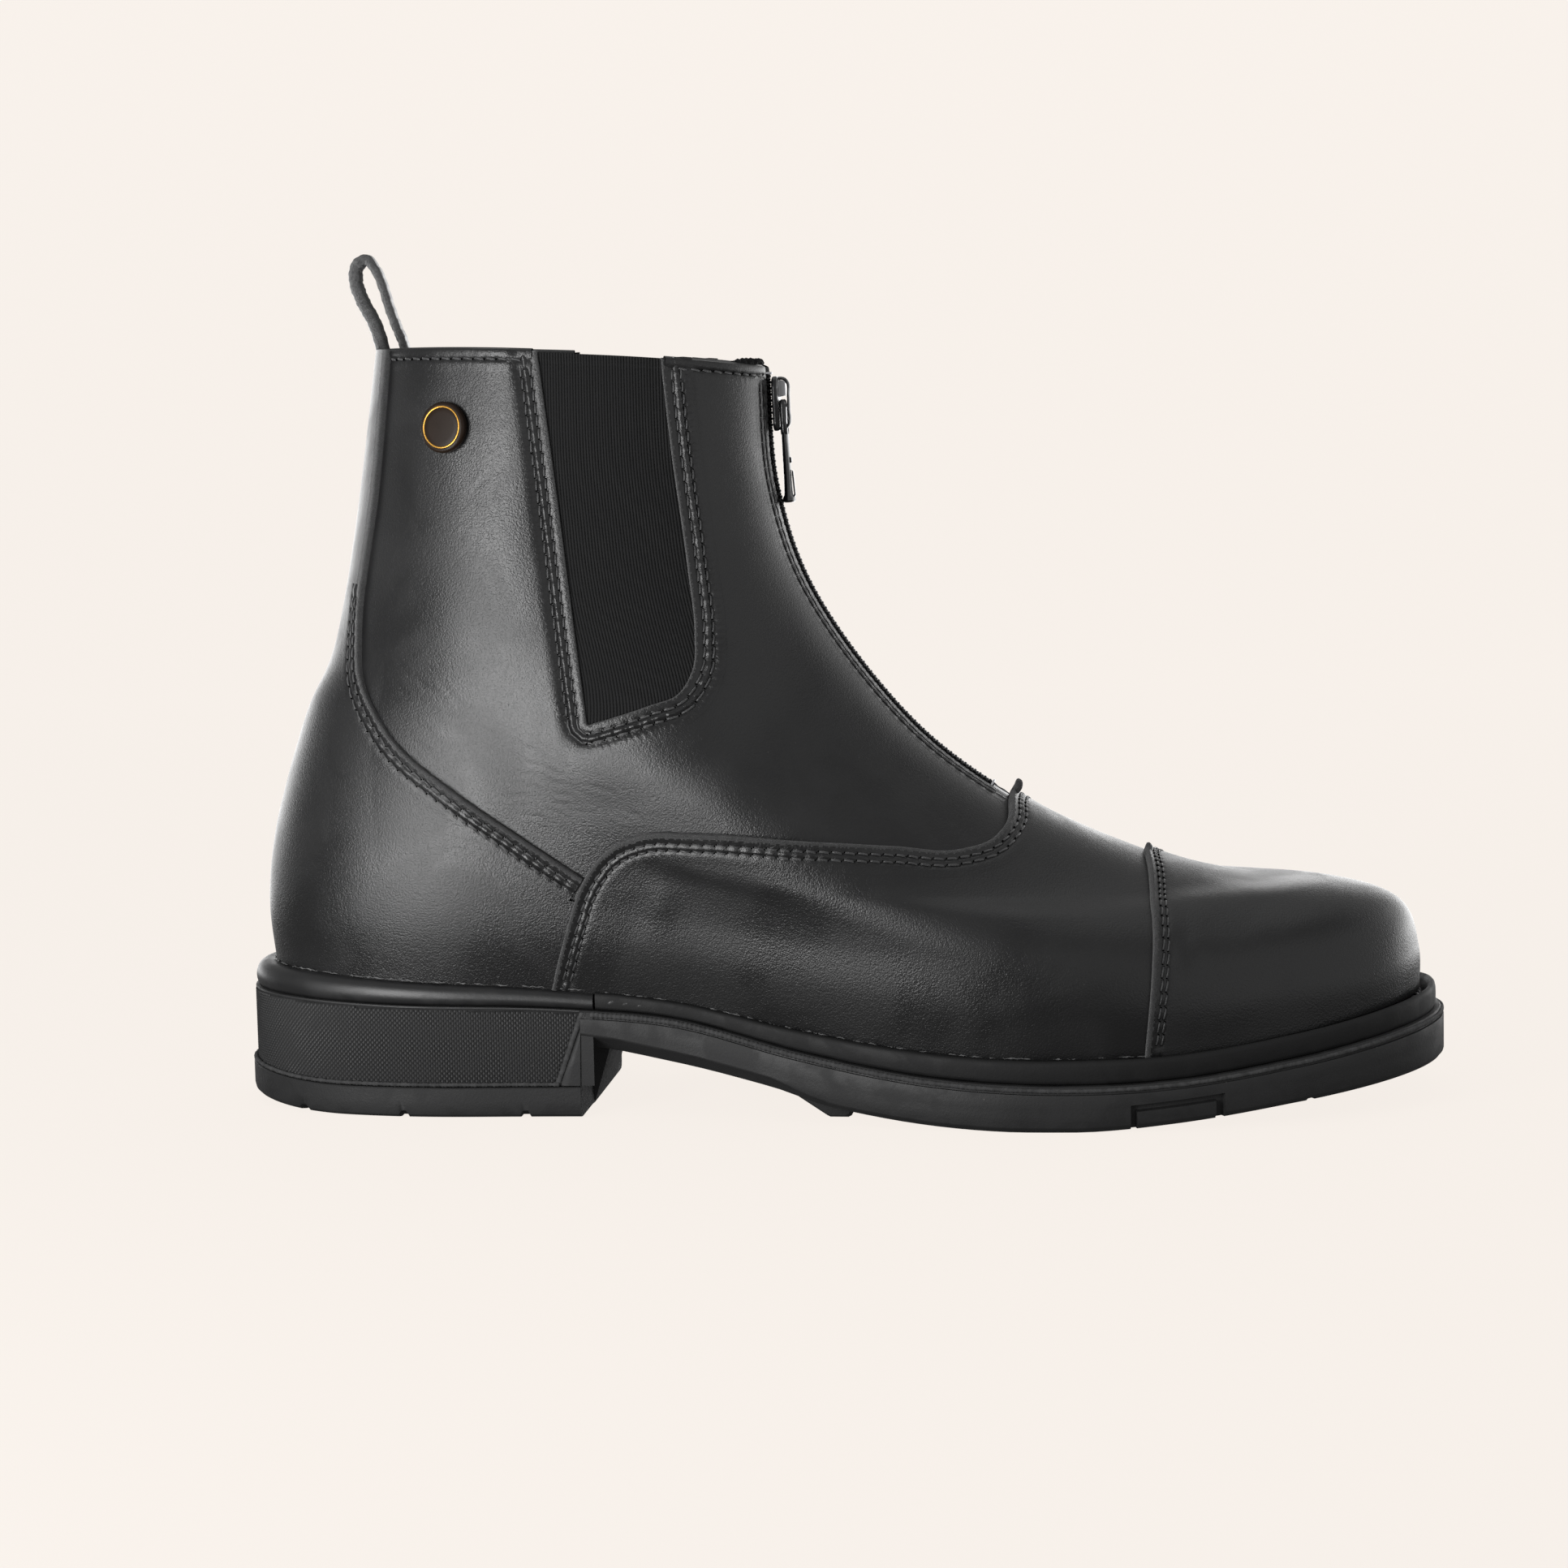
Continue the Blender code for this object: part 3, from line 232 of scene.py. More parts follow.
@dataclass(frozen=True)
class Last:
    """The form the upper is drawn over, and the sole's heights along it.

    Level runs from 0 at the feather line to 1 at the collar. Turn is the angle
    round the boot: 0 at the front, pi at the back, positive on the outer side.
    """

    wall: float = 2.2
    collar_crown: float = 1.8
    nose_power: float = 2.15
    sag_fade: float = 1.6
    crown_fade: int = 8
    rows: Array = field(default_factory=lambda: np.array([level[1:] for level in LEVELS]))
    sole_rows: Array = field(default_factory=lambda: np.array([row[1:] for row in SOLE_ROWS]))

    def sole(self, column: str, x: Array) -> Array:
        """One column of the sole's table at any place along the boot."""
        return smooth_through(self.sole_rows[:, 0], self.sole_rows[:, SoleRow._fields.index(column) - 1], x)

    def _loop(self, level: Array) -> Array:
        """The row of the last's table at any level."""
        return smooth_through(np.linspace(0, 1, len(LEVELS)), self.rows, level)

    def _end(self, share: Array, length: Array) -> Array:
        """Rise from 0 at the end of a loop to 1 where its rounded end is over."""
        rest = 1 - np.clip(share / length, 0, 1)
        return (1 - rest**self.nose_power) ** (1 / self.nose_power)

    def side_view(self, level: Array, share: Array) -> tuple[Array, Array]:
        """Place of a loop's point in the side view.

        Args:
            level: how far up the upper.
            share: how far along the loop, 0 at the front and 1 at the back.

        Returns:
            The x and z places.
        """
        row = self._loop(level)
        x = (1 - share) * row[..., 0] + share * row[..., 2]
        z = (1 - share) * row[..., 1] + share * row[..., 3]
        feather_x = (1 - share) * LEVELS[0].front_x + share * LEVELS[0].back_x
        feather_z = (1 - share) * LEVELS[0].front_z + share * LEVELS[0].back_z
        sag = (self.sole("seat", feather_x) - feather_z) * (1 - level) ** self.sag_fade
        crown = self.collar_crown * 4 * share * (1 - share) * level**self.crown_fade
        return x, z + sag + crown

    def face(self, level: Array, turn: Array) -> Array:
        """Points on the upper's outer face at levels and turns.

        Args:
            level: how far up the upper.
            turn: angle round the boot.

        Returns:
            The points.
        """
        level, turn = np.broadcast_arrays(np.asarray(level, float), np.asarray(turn, float))
        share = (1 - np.cos(turn)) / 2
        row = self._loop(level)
        stops = np.array([station.share for station in STATIONS])
        mix = np.stack([smooth_through(stops, np.eye(4)[k], share) for k in range(4)], axis=-1)
        half = (row[..., 4:8] * mix).sum(axis=-1)
        half = half * self._end(share, row[..., 8]) * self._end(1 - share, row[..., 9])
        sways = np.array([station.sway for station in STATIONS])
        sway = smooth_through(stops, sways, share) * (1 - level)
        x, z = self.side_view(level, share)
        return np.stack([x, sway - np.sign(np.sin(turn)) * half, z], axis=-1)

    def tangents(self, level: Array, turn: Array) -> tuple[Array, Array]:
        """Directions in which a point moves with its level and with its turn.

        Args:
            level: how far up the upper.
            turn: angle round the boot.

        Returns:
            The move for a level and the move for a turn.
        """
        step = 2e-4
        level = np.clip(level, 2 * step, 1 - 2 * step)
        up = (self.face(level + step, turn) - self.face(level - step, turn)) / (2 * step)
        around = (self.face(level, turn + 4 * step) - self.face(level, turn - 4 * step)) / (8 * step)
        return up, around

    def normal(self, level: Array, turn: Array) -> Array:
        """Outward directions of the upper's face."""
        return unit(np.cross(*self.tangents(level, turn)))

    def offset(self, level: Array, turn: Array, rise: Array) -> Array:
        """Points at a height above the upper's outer face, negative inside."""
        rise = np.broadcast_to(np.asarray(rise, float), np.broadcast(level, turn).shape)
        return self.face(level, turn) + rise[..., None] * self.normal(level, turn)

    def moved(self, places: Array, step: Array) -> Array:
        """Levels and turns after a small move along the face.

        Args:
            places: rows of (level, turn).
            step: the move in millimetres, of which the part along the face counts.

        Returns:
            The new rows of (level, turn).
        """
        up, around = self.tangents(*split(places))
        a = (up * up).sum(-1)
        b = (up * around).sum(-1)
        c = (around * around).sum(-1)
        p = (up * step).sum(-1)
        q = (around * step).sum(-1)
        size = a * c - b * b
        new = places + np.stack([(c * p - b * q) / size, (a * q - b * p) / size], axis=-1)
        new[..., 0] = np.clip(new[..., 0], 0.0, 1.0)
        return new

    def locate(self, spots: Sequence[Spot], side: Side = Side.OUTER) -> Array:
        """Levels and turns of side-view spots on one side of the boot.

        Args:
            spots: points in the side view.
            side: the side of the foot.

        Returns:
            Rows of (level, turn).
        """
        target = np.array(spots, float)
        levels, shares = np.meshgrid(np.linspace(0, 1, 60), np.linspace(0, 1, 60), indexing="ij")
        grid = np.stack(self.side_view(levels, shares), axis=-1).reshape(-1, 2)
        nearest = [np.argmin(((grid - spot) ** 2).sum(axis=1)) for spot in target]
        guess = np.stack([levels.ravel()[nearest], shares.ravel()[nearest]], axis=-1)
        step = 1e-4
        for _ in range(20):
            guess = np.clip(guess, 2 * step, 1 - 2 * step)
            level, share = split(guess)
            miss = target - np.stack(self.side_view(level, share), axis=-1)
            up = np.subtract(self.side_view(level + step, share), self.side_view(level - step, share)).T
            back = np.subtract(self.side_view(level, share + step), self.side_view(level, share - step)).T
            move = np.linalg.solve(np.stack([up, back], axis=-1) / (2 * step), miss[..., None])[..., 0]
            guess = guess + np.clip(move, -0.1, 0.1)
        guess = np.clip(guess, 0.0, 1.0)
        return np.stack([guess[:, 0], side.value * np.arccos(1 - 2 * guess[:, 1])], axis=-1)

    def trace(
        self, spots: Sequence[Spot], side: Side = Side.OUTER, count: int = 60, power: float = 1.0
    ) -> Array:
        """Levels and turns along a smooth line through side-view spots.

        Args:
            spots: points in the side view.
            side: the side of the foot.
            count: how many rows to give.
            power: above 1, the rows lie closer together at the line's start.

        Returns:
            Rows of (level, turn).
        """
        line = np.array(spots, float)
        stops = run_length(line)
        share = np.linspace(0, 1, count) ** power
        return self.locate(smooth_through(stops, line, share * stops[-1]), side)


class SeamLine:
    """A curve on the upper's face, read by its length in millimetres."""

    def __init__(self, last: Last, knots: Array, into: float) -> None:
        """Take the curve through its knots.

        Args:
            last: the form it lies on.
            knots: rows of (level, turn).
            into: sign that turns the curve's left side to the piece it borders.
        """
        self.last = last
        self.into = into
        self._knots = np.asarray(knots, float)
        self._stops = run_length(last.face(*split(self._knots)))
        self.length = float(self._stops[-1])

    def at(self, s: Array) -> Array:
        """Rows of (level, turn) at lengths along the curve."""
        return smooth_through(self._stops, self._knots, s)

    def inward(self, s: Array) -> Array:
        """Directions along the face from the curve into its piece.

        Args:
            s: lengths along the curve.

        Returns:
            One direction for each length.
        """
        places = self.at(s)
        ahead = self.at(np.asarray(s) + 0.4)
        behind = self.at(np.asarray(s) - 0.4)
        along = self.last.face(*split(ahead)) - self.last.face(*split(behind))
        return self.into * unit(np.cross(self.last.normal(*split(places)), along))

    def beside(self, s: Array, inward: Array) -> Array:
        """Rows of (level, turn) beside the curve.

        Args:
            s: lengths along the curve.
            inward: distances into the piece, negative outside it.

        Returns:
            A grid of (level, turn), one row for each length.
        """
        s = np.asarray(s, float)
        inward = np.asarray(inward, float)
        places = np.repeat(self.at(s)[:, None], len(inward), axis=1)
        heading = self.inward(s)[:, None]
        count = max(1, math.ceil(float(np.abs(inward).max()) / 2.0))
        for _ in range(count):
            places = self.last.moved(places, heading * (inward / count)[None, :, None])
        return places


class Crease(NamedTuple):
    """A soft trough, or with a negative depth a soft ridge, along side-view spots."""

    spots: tuple[Spot, ...]
    depth: float
    width: float

    def near(self, x: Array, z: Array) -> Array:
        """Which side-view places the crease can reach."""
        low, high = np.min(self.spots, axis=0) - 5 * self.width, np.max(self.spots, axis=0) + 5 * self.width
        return (x > low[0]) & (x < high[0]) & (z > low[1]) & (z < high[1])


QUARTER_CREASES = (
    Crease((Spot(-106.1, 113.3), Spot(-98.0, 107.9), Spot(-91.0, 103.4)), 0.032, 0.7),
    Crease((Spot(-103.0, 109.4), Spot(-93.0, 104.9), Spot(-82.0, 103.0)), 0.025, 0.6),
    Crease((Spot(-99.0, 103.4), Spot(-89.0, 98.4), Spot(-80.8, 96.4), Spot(-67.5, 90.0)), 0.048, 0.75),
    Crease((Spot(-94.0, 98.9), Spot(-86.0, 95.8), Spot(-78.0, 93.6), Spot(-70.0, 90.2)), 0.032, 0.6),
    Crease((Spot(-91.0, 95.2), Spot(-79.5, 91.8), Spot(-72.0, 88.0), Spot(-61.0, 84.9)), 0.044, 0.7),
    Crease((Spot(-87.0, 90.8), Spot(-77.0, 88.6), Spot(-70.0, 86.4)), 0.022, 0.55),
    Crease((Spot(-84.0, 87.6), Spot(-72.8, 84.8), Spot(-62.0, 82.0)), 0.042, 0.7),
    Crease((Spot(-81.0, 83.0), Spot(-71.0, 81.8), Spot(-63.0, 80.6)), 0.025, 0.6),
    Crease((Spot(-78.0, 79.8), Spot(-69.4, 78.7), Spot(-55.0, 75.4)), 0.036, 0.75),
    Crease((Spot(-83.0, 100.0), Spot(-76.0, 97.4), Spot(-68.0, 95.0)), 0.019, 0.55),
    Crease((Spot(-76.0, 86.9), Spot(-69.0, 85.4), Spot(-64.0, 84.0)), 0.019, 0.5),
    Crease((Spot(-95.0, 93.6), Spot(-90.0, 91.6), Spot(-84.0, 90.6)), 0.015, 0.6),
    Crease((Spot(-82.0, 171.0), Spot(-75.0, 175.0), Spot(-68.6, 179.4)), 0.025, 0.7),
    Crease((Spot(-86.0, 149.6), Spot(-77.0, 157.6), Spot(-68.6, 166.4)), 0.036, 0.75),
    Crease((Spot(-79.0, 154.4), Spot(-74.0, 160.6), Spot(-68.0, 168.8)), 0.019, 0.6),
    Crease((Spot(-90.0, 160.0), Spot(-81.0, 164.6), Spot(-72.0, 172.0)), 0.015, 0.7),
    Crease((Spot(-101.0, 132.0), Spot(-88.0, 131.0), Spot(-70.0, 126.0)), 0.20, 8.0),
    Crease((Spot(-2.0, 107.0), Spot(-10.0, 100.0), Spot(-14.0, 90.0)), 0.20, 7.0),
)


def fine_wrinkles(middle: Spot, spread: Spot, slope: float, count: int, seed: int) -> tuple[Crease, ...]:
    """Short thin wrinkles strewn over a patch of the leather.

    Args:
        middle: middle of the patch in the side view.
        spread: half sizes of the patch.
        slope: angle of the wrinkles in degrees.
        count: number of wrinkles.
        seed: seed of the random draws.

    Returns:
        The wrinkles.
    """
    chance = np.random.default_rng(seed)
    made = []
    for _ in range(count):
        x, z = middle.x + spread.x * chance.uniform(-1, 1), middle.z + spread.z * chance.uniform(-1, 1)
        angle = math.radians(slope + chance.normal(0, 14))
        half, bend = chance.uniform(1.6, 4.6), chance.uniform(-0.5, 0.5)
        dx, dz = half * math.cos(angle), half * math.sin(angle)
        ends = (Spot(x - dx, z - dz), Spot(x - bend * dz / half, z + bend * dx / half), Spot(x + dx, z + dz))
        made.append(Crease(ends, chance.uniform(0.008, 0.032), chance.uniform(0.45, 0.8)))
    return tuple(made)


FINE_WRINKLES = (
    *fine_wrinkles(Spot(-80.0, 92.0), Spot(24.0, 16.0), -24.0, 80, 11),
    *fine_wrinkles(Spot(-77.0, 160.0), Spot(10.0, 30.0), 48.0, 56, 12),
    *fine_wrinkles(Spot(-62.0, 82.0), Spot(18.0, 10.0), -14.0, 34, 13),
)
VAMP_CREASES = (
    Crease((Spot(-49.0, 56.0), Spot(-46.4, 50.0), Spot(-45.0, 44.0)), 0.16, 4.4),
    Crease((Spot(-38.0, 58.0), Spot(-38.8, 53.4), Spot(-40.4, 49.0)), -0.20, 3.2),
)
CAP_CREASES = (
    Crease((Spot(85.0, 44.6), Spot(101.6, 46.1), Spot(118.0, 47.6)), 0.35, 3.4),
    Crease((Spot(84.4, 36.0), Spot(84.6, 40.0), Spot(86.0, 45.0)), 0.30, 2.0),
)
COUNTER_CREASES = (
    Crease((Spot(-99.0, 83.0), Spot(-92.0, 79.0), Spot(-86.0, 74.6)), 0.05, 0.7),
    Crease((Spot(-96.0, 76.0), Spot(-88.0, 71.6), Spot(-80.0, 68.0)), 0.05, 0.7),
)


@dataclass(frozen=True)
class Relief:
    """Height of one panel above the upper's face, with its creases."""

    last: Last
    base: float
    creases: tuple[Crease, ...] = ()
    inner_share: float = 0.6
    padding: Rise | None = None

    def __call__(self, level: Array, turn: Array) -> Array:
        """Heights at levels and turns; the inner side has the creases more softly.

        Args:
            level: how far up the upper.
            turn: angle round the boot.

        Returns:
            The heights.
        """
        place = self.last.face(level, turn)
        x, z = place[..., 0], place[..., 2]
        soft = np.broadcast_to(np.where(np.asarray(turn) < 0, self.inner_share, 1.0), x.shape)
        rise = np.full(x.shape, self.base)
        wander = 0.45 * np.sin(0.23 * x + 0.11 * z) + 0.20 * np.sin(0.61 * x - 0.35 * z + 1.0)
        z = z + wander
        for crease in self.creases:
            near = crease.near(x, z)
            if near.any():
                rise[near] += soft[near] * self._profile(crease, x[near], z[near])
        return rise if self.padding is None else rise + self.padding(level, turn)

    @staticmethod
    def _profile(crease: Crease, x: Array, z: Array) -> Array:
        """Height that one crease adds at side-view places.

        Args:
            crease: the crease.
            x: places along the boot.
            z: heights.

        Returns:
            The heights, negative in a trough.
        """
        spots = np.array(crease.spots)
        best = np.full(x.shape, np.inf)
        share = np.zeros(x.shape)
        pieces = len(spots) - 1
        for i in range(pieces):
            leg = spots[i + 1] - spots[i]
            t = np.clip(((x - spots[i, 0]) * leg[0] + (z - spots[i, 1]) * leg[1]) / (leg @ leg), 0, 1)
            away = np.hypot(x - spots[i, 0] - t * leg[0], z - spots[i, 1] - t * leg[1])
            nearer = away < best
            best = np.where(nearer, away, best)
            share = np.where(nearer, (i + t) / pieces, share)
        fade = np.sqrt(np.clip(np.sin(np.pi * np.clip(share, 0.02, 0.98)), 0, 1))
        trough = -np.exp(-((best / crease.width) ** 2))
        shoulder = 0.4 * np.exp(-(((best - 1.9 * crease.width) / crease.width) ** 2))
        return crease.depth * fade * (trough + (shoulder if crease.depth > 0 else 0.0))


class MeshDraft:
    """Points and faces gathered for one piece, in millimetres."""

    def __init__(self) -> None:
        """Start empty."""
        self._points: list[Array] = []
        self._faces: list[tuple[int, ...]] = []
        self._tints: list[int] = []
        self._count = 0

    def points(self, places: Array) -> Array:
        """Add points.

        Args:
            places: the points, in any layout.

        Returns:
            Their numbers in the same layout.
        """
        places = np.asarray(places, float)
        size = int(np.prod(places.shape[:-1]))
        numbers = self._count + np.arange(size).reshape(places.shape[:-1])
        self._points.append(places.reshape(-1, 3))
        self._count += size
        return numbers

    def faces(self, corners: Array, tint: int = 0) -> None:
        """Add faces given as rows of point numbers.

        Args:
            corners: rows of point numbers.
            tint: number of the material.
        """
        rows = np.asarray(corners).reshape(-1, np.asarray(corners).shape[-1]).tolist()
        self._faces.extend(tuple(dict.fromkeys(row)) for row in rows)
        self._tints.extend([tint] * len(rows))

    def weave(self, numbers: Array, tint: int = 0, keep: Array | None = None, ring: bool = False) -> None:
        """Add the quads of a grid of point numbers.

        Args:
            numbers: the grid, or several of them.
            tint: number of the material.
            keep: mask of the quads to add.
            ring: whether the last column joins the first.
        """
        if ring:
            numbers = np.concatenate([numbers, numbers[..., :1]], axis=-1)
        near, far = numbers[..., :-1, :], numbers[..., 1:, :]
        quads = np.stack([near[..., :-1], near[..., 1:], far[..., 1:], far[..., :-1]], axis=-1)
        self.faces(quads if keep is None else quads[keep], tint)

    def grid(self, places: Array, tint: int = 0, keep: Array | None = None, ring: bool = False) -> Array:
        """Add a grid of points with its quads.

        Args:
            places: the grid of points.
            tint: number of the material.
            keep: mask of the quads to add.
            ring: whether the last column joins the first.

        Returns:
            The points' numbers.
        """
        numbers = self.points(places)
        self.weave(numbers, tint, keep, ring)
        return numbers

    def tubes(self, centres: Array, side: Array, rise: Array, tint: int = 0) -> None:
        """Add closed tubes.

        Args:
            centres: middle lines, as (tube, ring, 3).
            side: half widths across, as (tube, ring, 3).
            rise: half heights, as (tube, ring, 3).
            tint: number of the material.
        """
        angle = np.linspace(0, 2 * np.pi, 8, endpoint=False)
        rings = centres[:, :, None] + np.cos(angle)[:, None] * side[:, :, None]
        rings = rings + np.sin(angle)[:, None] * rise[:, :, None]
        numbers = self.points(rings)
        self.weave(numbers, tint, ring=True)
        self.faces(numbers[:, 0], tint)
        self.faces(numbers[:, -1], tint)

    def sweep(self, sections: Array, tint: int = 0, closed: bool = False) -> Array:
        """Add a body through closed sections, with end faces unless it is a ring.

        Args:
            sections: rows of points, one row for each section.
            tint: number of the material.
            closed: whether the last section joins the first.

        Returns:
            The points' numbers.
        """
        sections = np.asarray(sections, float)
        numbers = self.points(sections)
        rows = np.concatenate([numbers, numbers[:1]]) if closed else numbers
        self.weave(rows, tint, ring=True)
        if not closed:
            self.faces(numbers[:1], tint)
            self.faces(numbers[-1:], tint)
        return numbers

    def piece(
        self,
        name: str,
        finishes: Sequence["Finish"],
        slot: str,
        replaces: Sequence[str] = (),
        body: str = "boot",
        sharp: float = 48.0,
    ) -> bpy.types.Object:
        """Make the piece and set it on its body.

        Args:
            name: the piece's name.
            finishes: its finishes, in the order of the tints.
            slot: the record's material slot; not used.
            replaces: CAD nodes it stands for.
            body: the CAD body it rides on.
            sharp: edges sharper than this angle in degrees stay sharp.

        Returns:
            The new object.
        """
        mesh = bpy.data.meshes.new(name)
        mesh.from_pydata((np.concatenate(self._points) * MM).tolist(), [], self._faces)
        mesh.polygons.foreach_set("material_index", self._tints)
        shape = bmesh.new()
        shape.from_mesh(mesh)
        bmesh.ops.remove_doubles(shape, verts=shape.verts, dist=WELD_DISTANCE)
        loose = [vert for vert in shape.verts if not vert.link_faces]
        bmesh.ops.delete(shape, geom=loose, context="VERTS")
        bmesh.ops.recalc_face_normals(shape, faces=shape.faces)
        shape.to_mesh(mesh)
        shape.free()
        mesh.shade_smooth()
        mesh.set_sharp_from_angle(angle=math.radians(sharp))
        for finish in finishes:
            mesh.materials.append(finish.material())
        thing = bpy.data.objects.new(name, mesh)
        bpy.context.scene.collection.objects.link(thing)
        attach(thing, body)
        if replaces:
            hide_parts(*replaces)
        LOG.info("%s: %d faces", name, len(mesh.polygons))
        return thing


class NodePen:
    """Draws nodes into a node tree."""

    def __init__(self, tree: bpy.types.NodeTree) -> None:
        """Take the tree to draw in."""
        self.tree = tree

    def node(self, kind: str, **settings: object) -> bpy.types.Node:
        """Add a node with its settings; names that start with a capital are input values.

        Args:
            kind: the node's type.
            settings: its settings.

        Returns:
            The node.
        """
        made = self.tree.nodes.new(kind)
        for key, value in settings.items():
            if key[0].isupper():
                made.inputs[key.replace("_", " ")].default_value = value
            else:
                setattr(made, key, value)
        return made

    def link(self, source: Socket, target: Socket) -> None:
        """Join two sockets."""
        self.tree.links.new(source, target)

    def math(self, operation: str, first: object, second: object = 0.0) -> Socket:
        """Add a math node on sockets or numbers.

        Args:
            operation: what to do.
            first: a socket or number.
            second: a socket or number.

        Returns:
            The result.
        """
        made = self.node("ShaderNodeMath", operation=operation)
        for slot, value in enumerate((first, second)):
            if isinstance(value, Socket):
                self.link(value, made.inputs[slot])
            else:
                made.inputs[slot].default_value = value
        return made.outputs[0]

    def ramp(self, value: Socket, low: float, high: float, to_low: float, to_high: float) -> Socket:
        """Map a range of a value to another range.

        Args:
            value: the value.
            low: start of its range.
            high: end of its range.
            to_low: result at the start.
            to_high: result at the end.

        Returns:
            The result.
        """
        made = self.node("ShaderNodeMapRange", interpolation_type="SMOOTHSTEP")
        self.link(value, made.inputs["Value"])
        for name, number in (("From Min", low), ("From Max", high), ("To Min", to_low), ("To Max", to_high)):
            made.inputs[name].default_value = number
        return made.outputs["Result"]


class Effect(Enum):
    """Surface effects that materials share, each one a node group."""

    GRAIN = "leather grain"
    NAP = "raw nap"
    WEAVE = "cross weave"
    MOULD = "moulded skin"
    MOTTLE = "mottling"
    DUST = "dust specks"


class EffectShelf:
    """The shared node groups, each built the first time it is asked for."""

    _made: dict[Effect, bpy.types.NodeTree] = {}

    @classmethod
    def group(cls, effect: Effect) -> bpy.types.NodeTree:
        """The node group of one effect.

        Args:
            effect: the effect.

        Returns:
            Its node tree.
        """
        if effect not in cls._made:
            tree = bpy.data.node_groups.new(effect.value, "ShaderNodeTree")
            tree.interface.new_socket("Size", in_out="INPUT", socket_type="NodeSocketFloat")
            tree.interface.new_socket("Height", in_out="OUTPUT", socket_type="NodeSocketFloat")
            pen = NodePen(tree)
            inlet = pen.node("NodeGroupInput")
            outlet = pen.node("NodeGroupOutput")
            place = pen.node("ShaderNodeTexCoord").outputs["Object"]
            scale = pen.math("DIVIDE", 1.0 / MM, inlet.outputs["Size"])
            height = getattr(cls, "_" + effect.name.lower())(pen, place, scale)
            pen.link(height, outlet.inputs["Height"])
            cls._made[effect] = tree
        return cls._made[effect]

    @staticmethod
    def _texture(pen: NodePen, kind: str, place: Socket, scale: object, **settings: object) -> bpy.types.Node:
        """Add a texture node on the object's own coordinates.

        Args:
            pen: draws the group's nodes.
            kind: the node's type.
            place: the coordinates.
            scale: a socket or number.
            settings: the node's settings.

        Returns:
            The node.
        """
        made = pen.node(kind, **settings)
        pen.link(place, made.inputs["Vector"])
        if isinstance(scale, Socket):
            pen.link(scale, made.inputs["Scale"])
        else:
            made.inputs["Scale"].default_value = scale
        return made

    @classmethod
    def _grain(cls, pen: NodePen, place: Socket, scale: Socket) -> Socket:
        """Pebbles of the skin with finer pores between them.

        Args:
            pen: draws the group's nodes.
            place: the object's own coordinates.
            scale: cells in a metre.

        Returns:
            The height.
        """
        warp = cls._texture(pen, "ShaderNodeTexNoise", place, pen.math("MULTIPLY", scale, 0.55), Detail=2.0)
        shifted = pen.node("ShaderNodeVectorMath", operation="MULTIPLY_ADD")
        pen.link(warp.outputs["Color"], shifted.inputs[0])
        shifted.inputs[1].default_value = (0.0011, 0.0011, 0.0011)
        pen.link(place, shifted.inputs[2])
        pebble = cls._texture(
            pen, "ShaderNodeTexVoronoi", shifted.outputs[0], scale, feature="SMOOTH_F1", Smoothness=0.35,
        )
        pore = cls._texture(pen, "ShaderNodeTexNoise", place, pen.math("MULTIPLY", scale, 2.1), Detail=3.0)
        dome = pen.math("SUBTRACT", 1.0, pebble.outputs["Distance"])
        pits = pen.math("MULTIPLY", pore.outputs["Fac"], 0.35)
        return pen.math("ADD", pen.math("MULTIPLY", dome, 0.75), pits)

    @classmethod
    def _nap(cls, pen: NodePen, place: Socket, scale: Socket) -> Socket:
        """Short raised fibres."""
        fibre = cls._texture(
            pen, "ShaderNodeTexNoise", place, scale, Detail=5.0, Roughness=0.7, Distortion=1.2,
        )
        return pen.ramp(fibre.outputs["Fac"], 0.3, 0.7, 0.0, 1.0)

    @classmethod
    def _weave(cls, pen: NodePen, place: Socket, scale: Socket) -> Socket:
        """Threads that cross along the height and the length of the boot.

        Args:
            pen: draws the group's nodes.
            place: the object's own coordinates.
            scale: cells in a metre.

        Returns:
            The height.
        """
        turn = pen.math("MULTIPLY", scale, 1.0 / (2.0 * math.pi))
        across = cls._texture(pen, "ShaderNodeTexWave", place, turn, bands_direction="Z", Distortion=0.4)
        along = cls._texture(pen, "ShaderNodeTexWave", place, turn, bands_direction="X", Distortion=0.4)
        return pen.math("MULTIPLY", across.outputs["Fac"], along.outputs["Fac"])

    @classmethod
    def _mould(cls, pen: NodePen, place: Socket, scale: Socket) -> Socket:
        """Fine spark-eroded skin of a rubber mould."""
        fine = cls._texture(pen, "ShaderNodeTexNoise", place, scale, Detail=4.0, Roughness=0.6)
        return fine.outputs["Fac"]

    @classmethod
    def _mottle(cls, pen: NodePen, place: Socket, scale: Socket) -> Socket:
        """Slow drift in colour and polish."""
        drift = cls._texture(pen, "ShaderNodeTexNoise", place, scale, Detail=3.0, Distortion=0.6)
        return pen.ramp(drift.outputs["Fac"], 0.32, 0.68, 0.0, 1.0)

    @classmethod
    def _dust(cls, pen: NodePen, place: Socket, scale: Socket) -> Socket:
        """Sparse pale specks.

        Args:
            pen: draws the group's nodes.
            place: the object's own coordinates.
            scale: cells in a metre.

        Returns:
            The specks' strength.
        """
        cells = cls._texture(pen, "ShaderNodeTexVoronoi", place, scale, feature="F1")
        speck = pen.ramp(cells.outputs["Distance"], 0.03, 0.07, 1.0, 0.0)
        pick = pen.node("ShaderNodeSeparateColor")
        pen.link(cells.outputs["Color"], pick.inputs[0])
        return pen.math("MULTIPLY", speck, pen.math("GREATER_THAN", pick.outputs[0], 0.8))


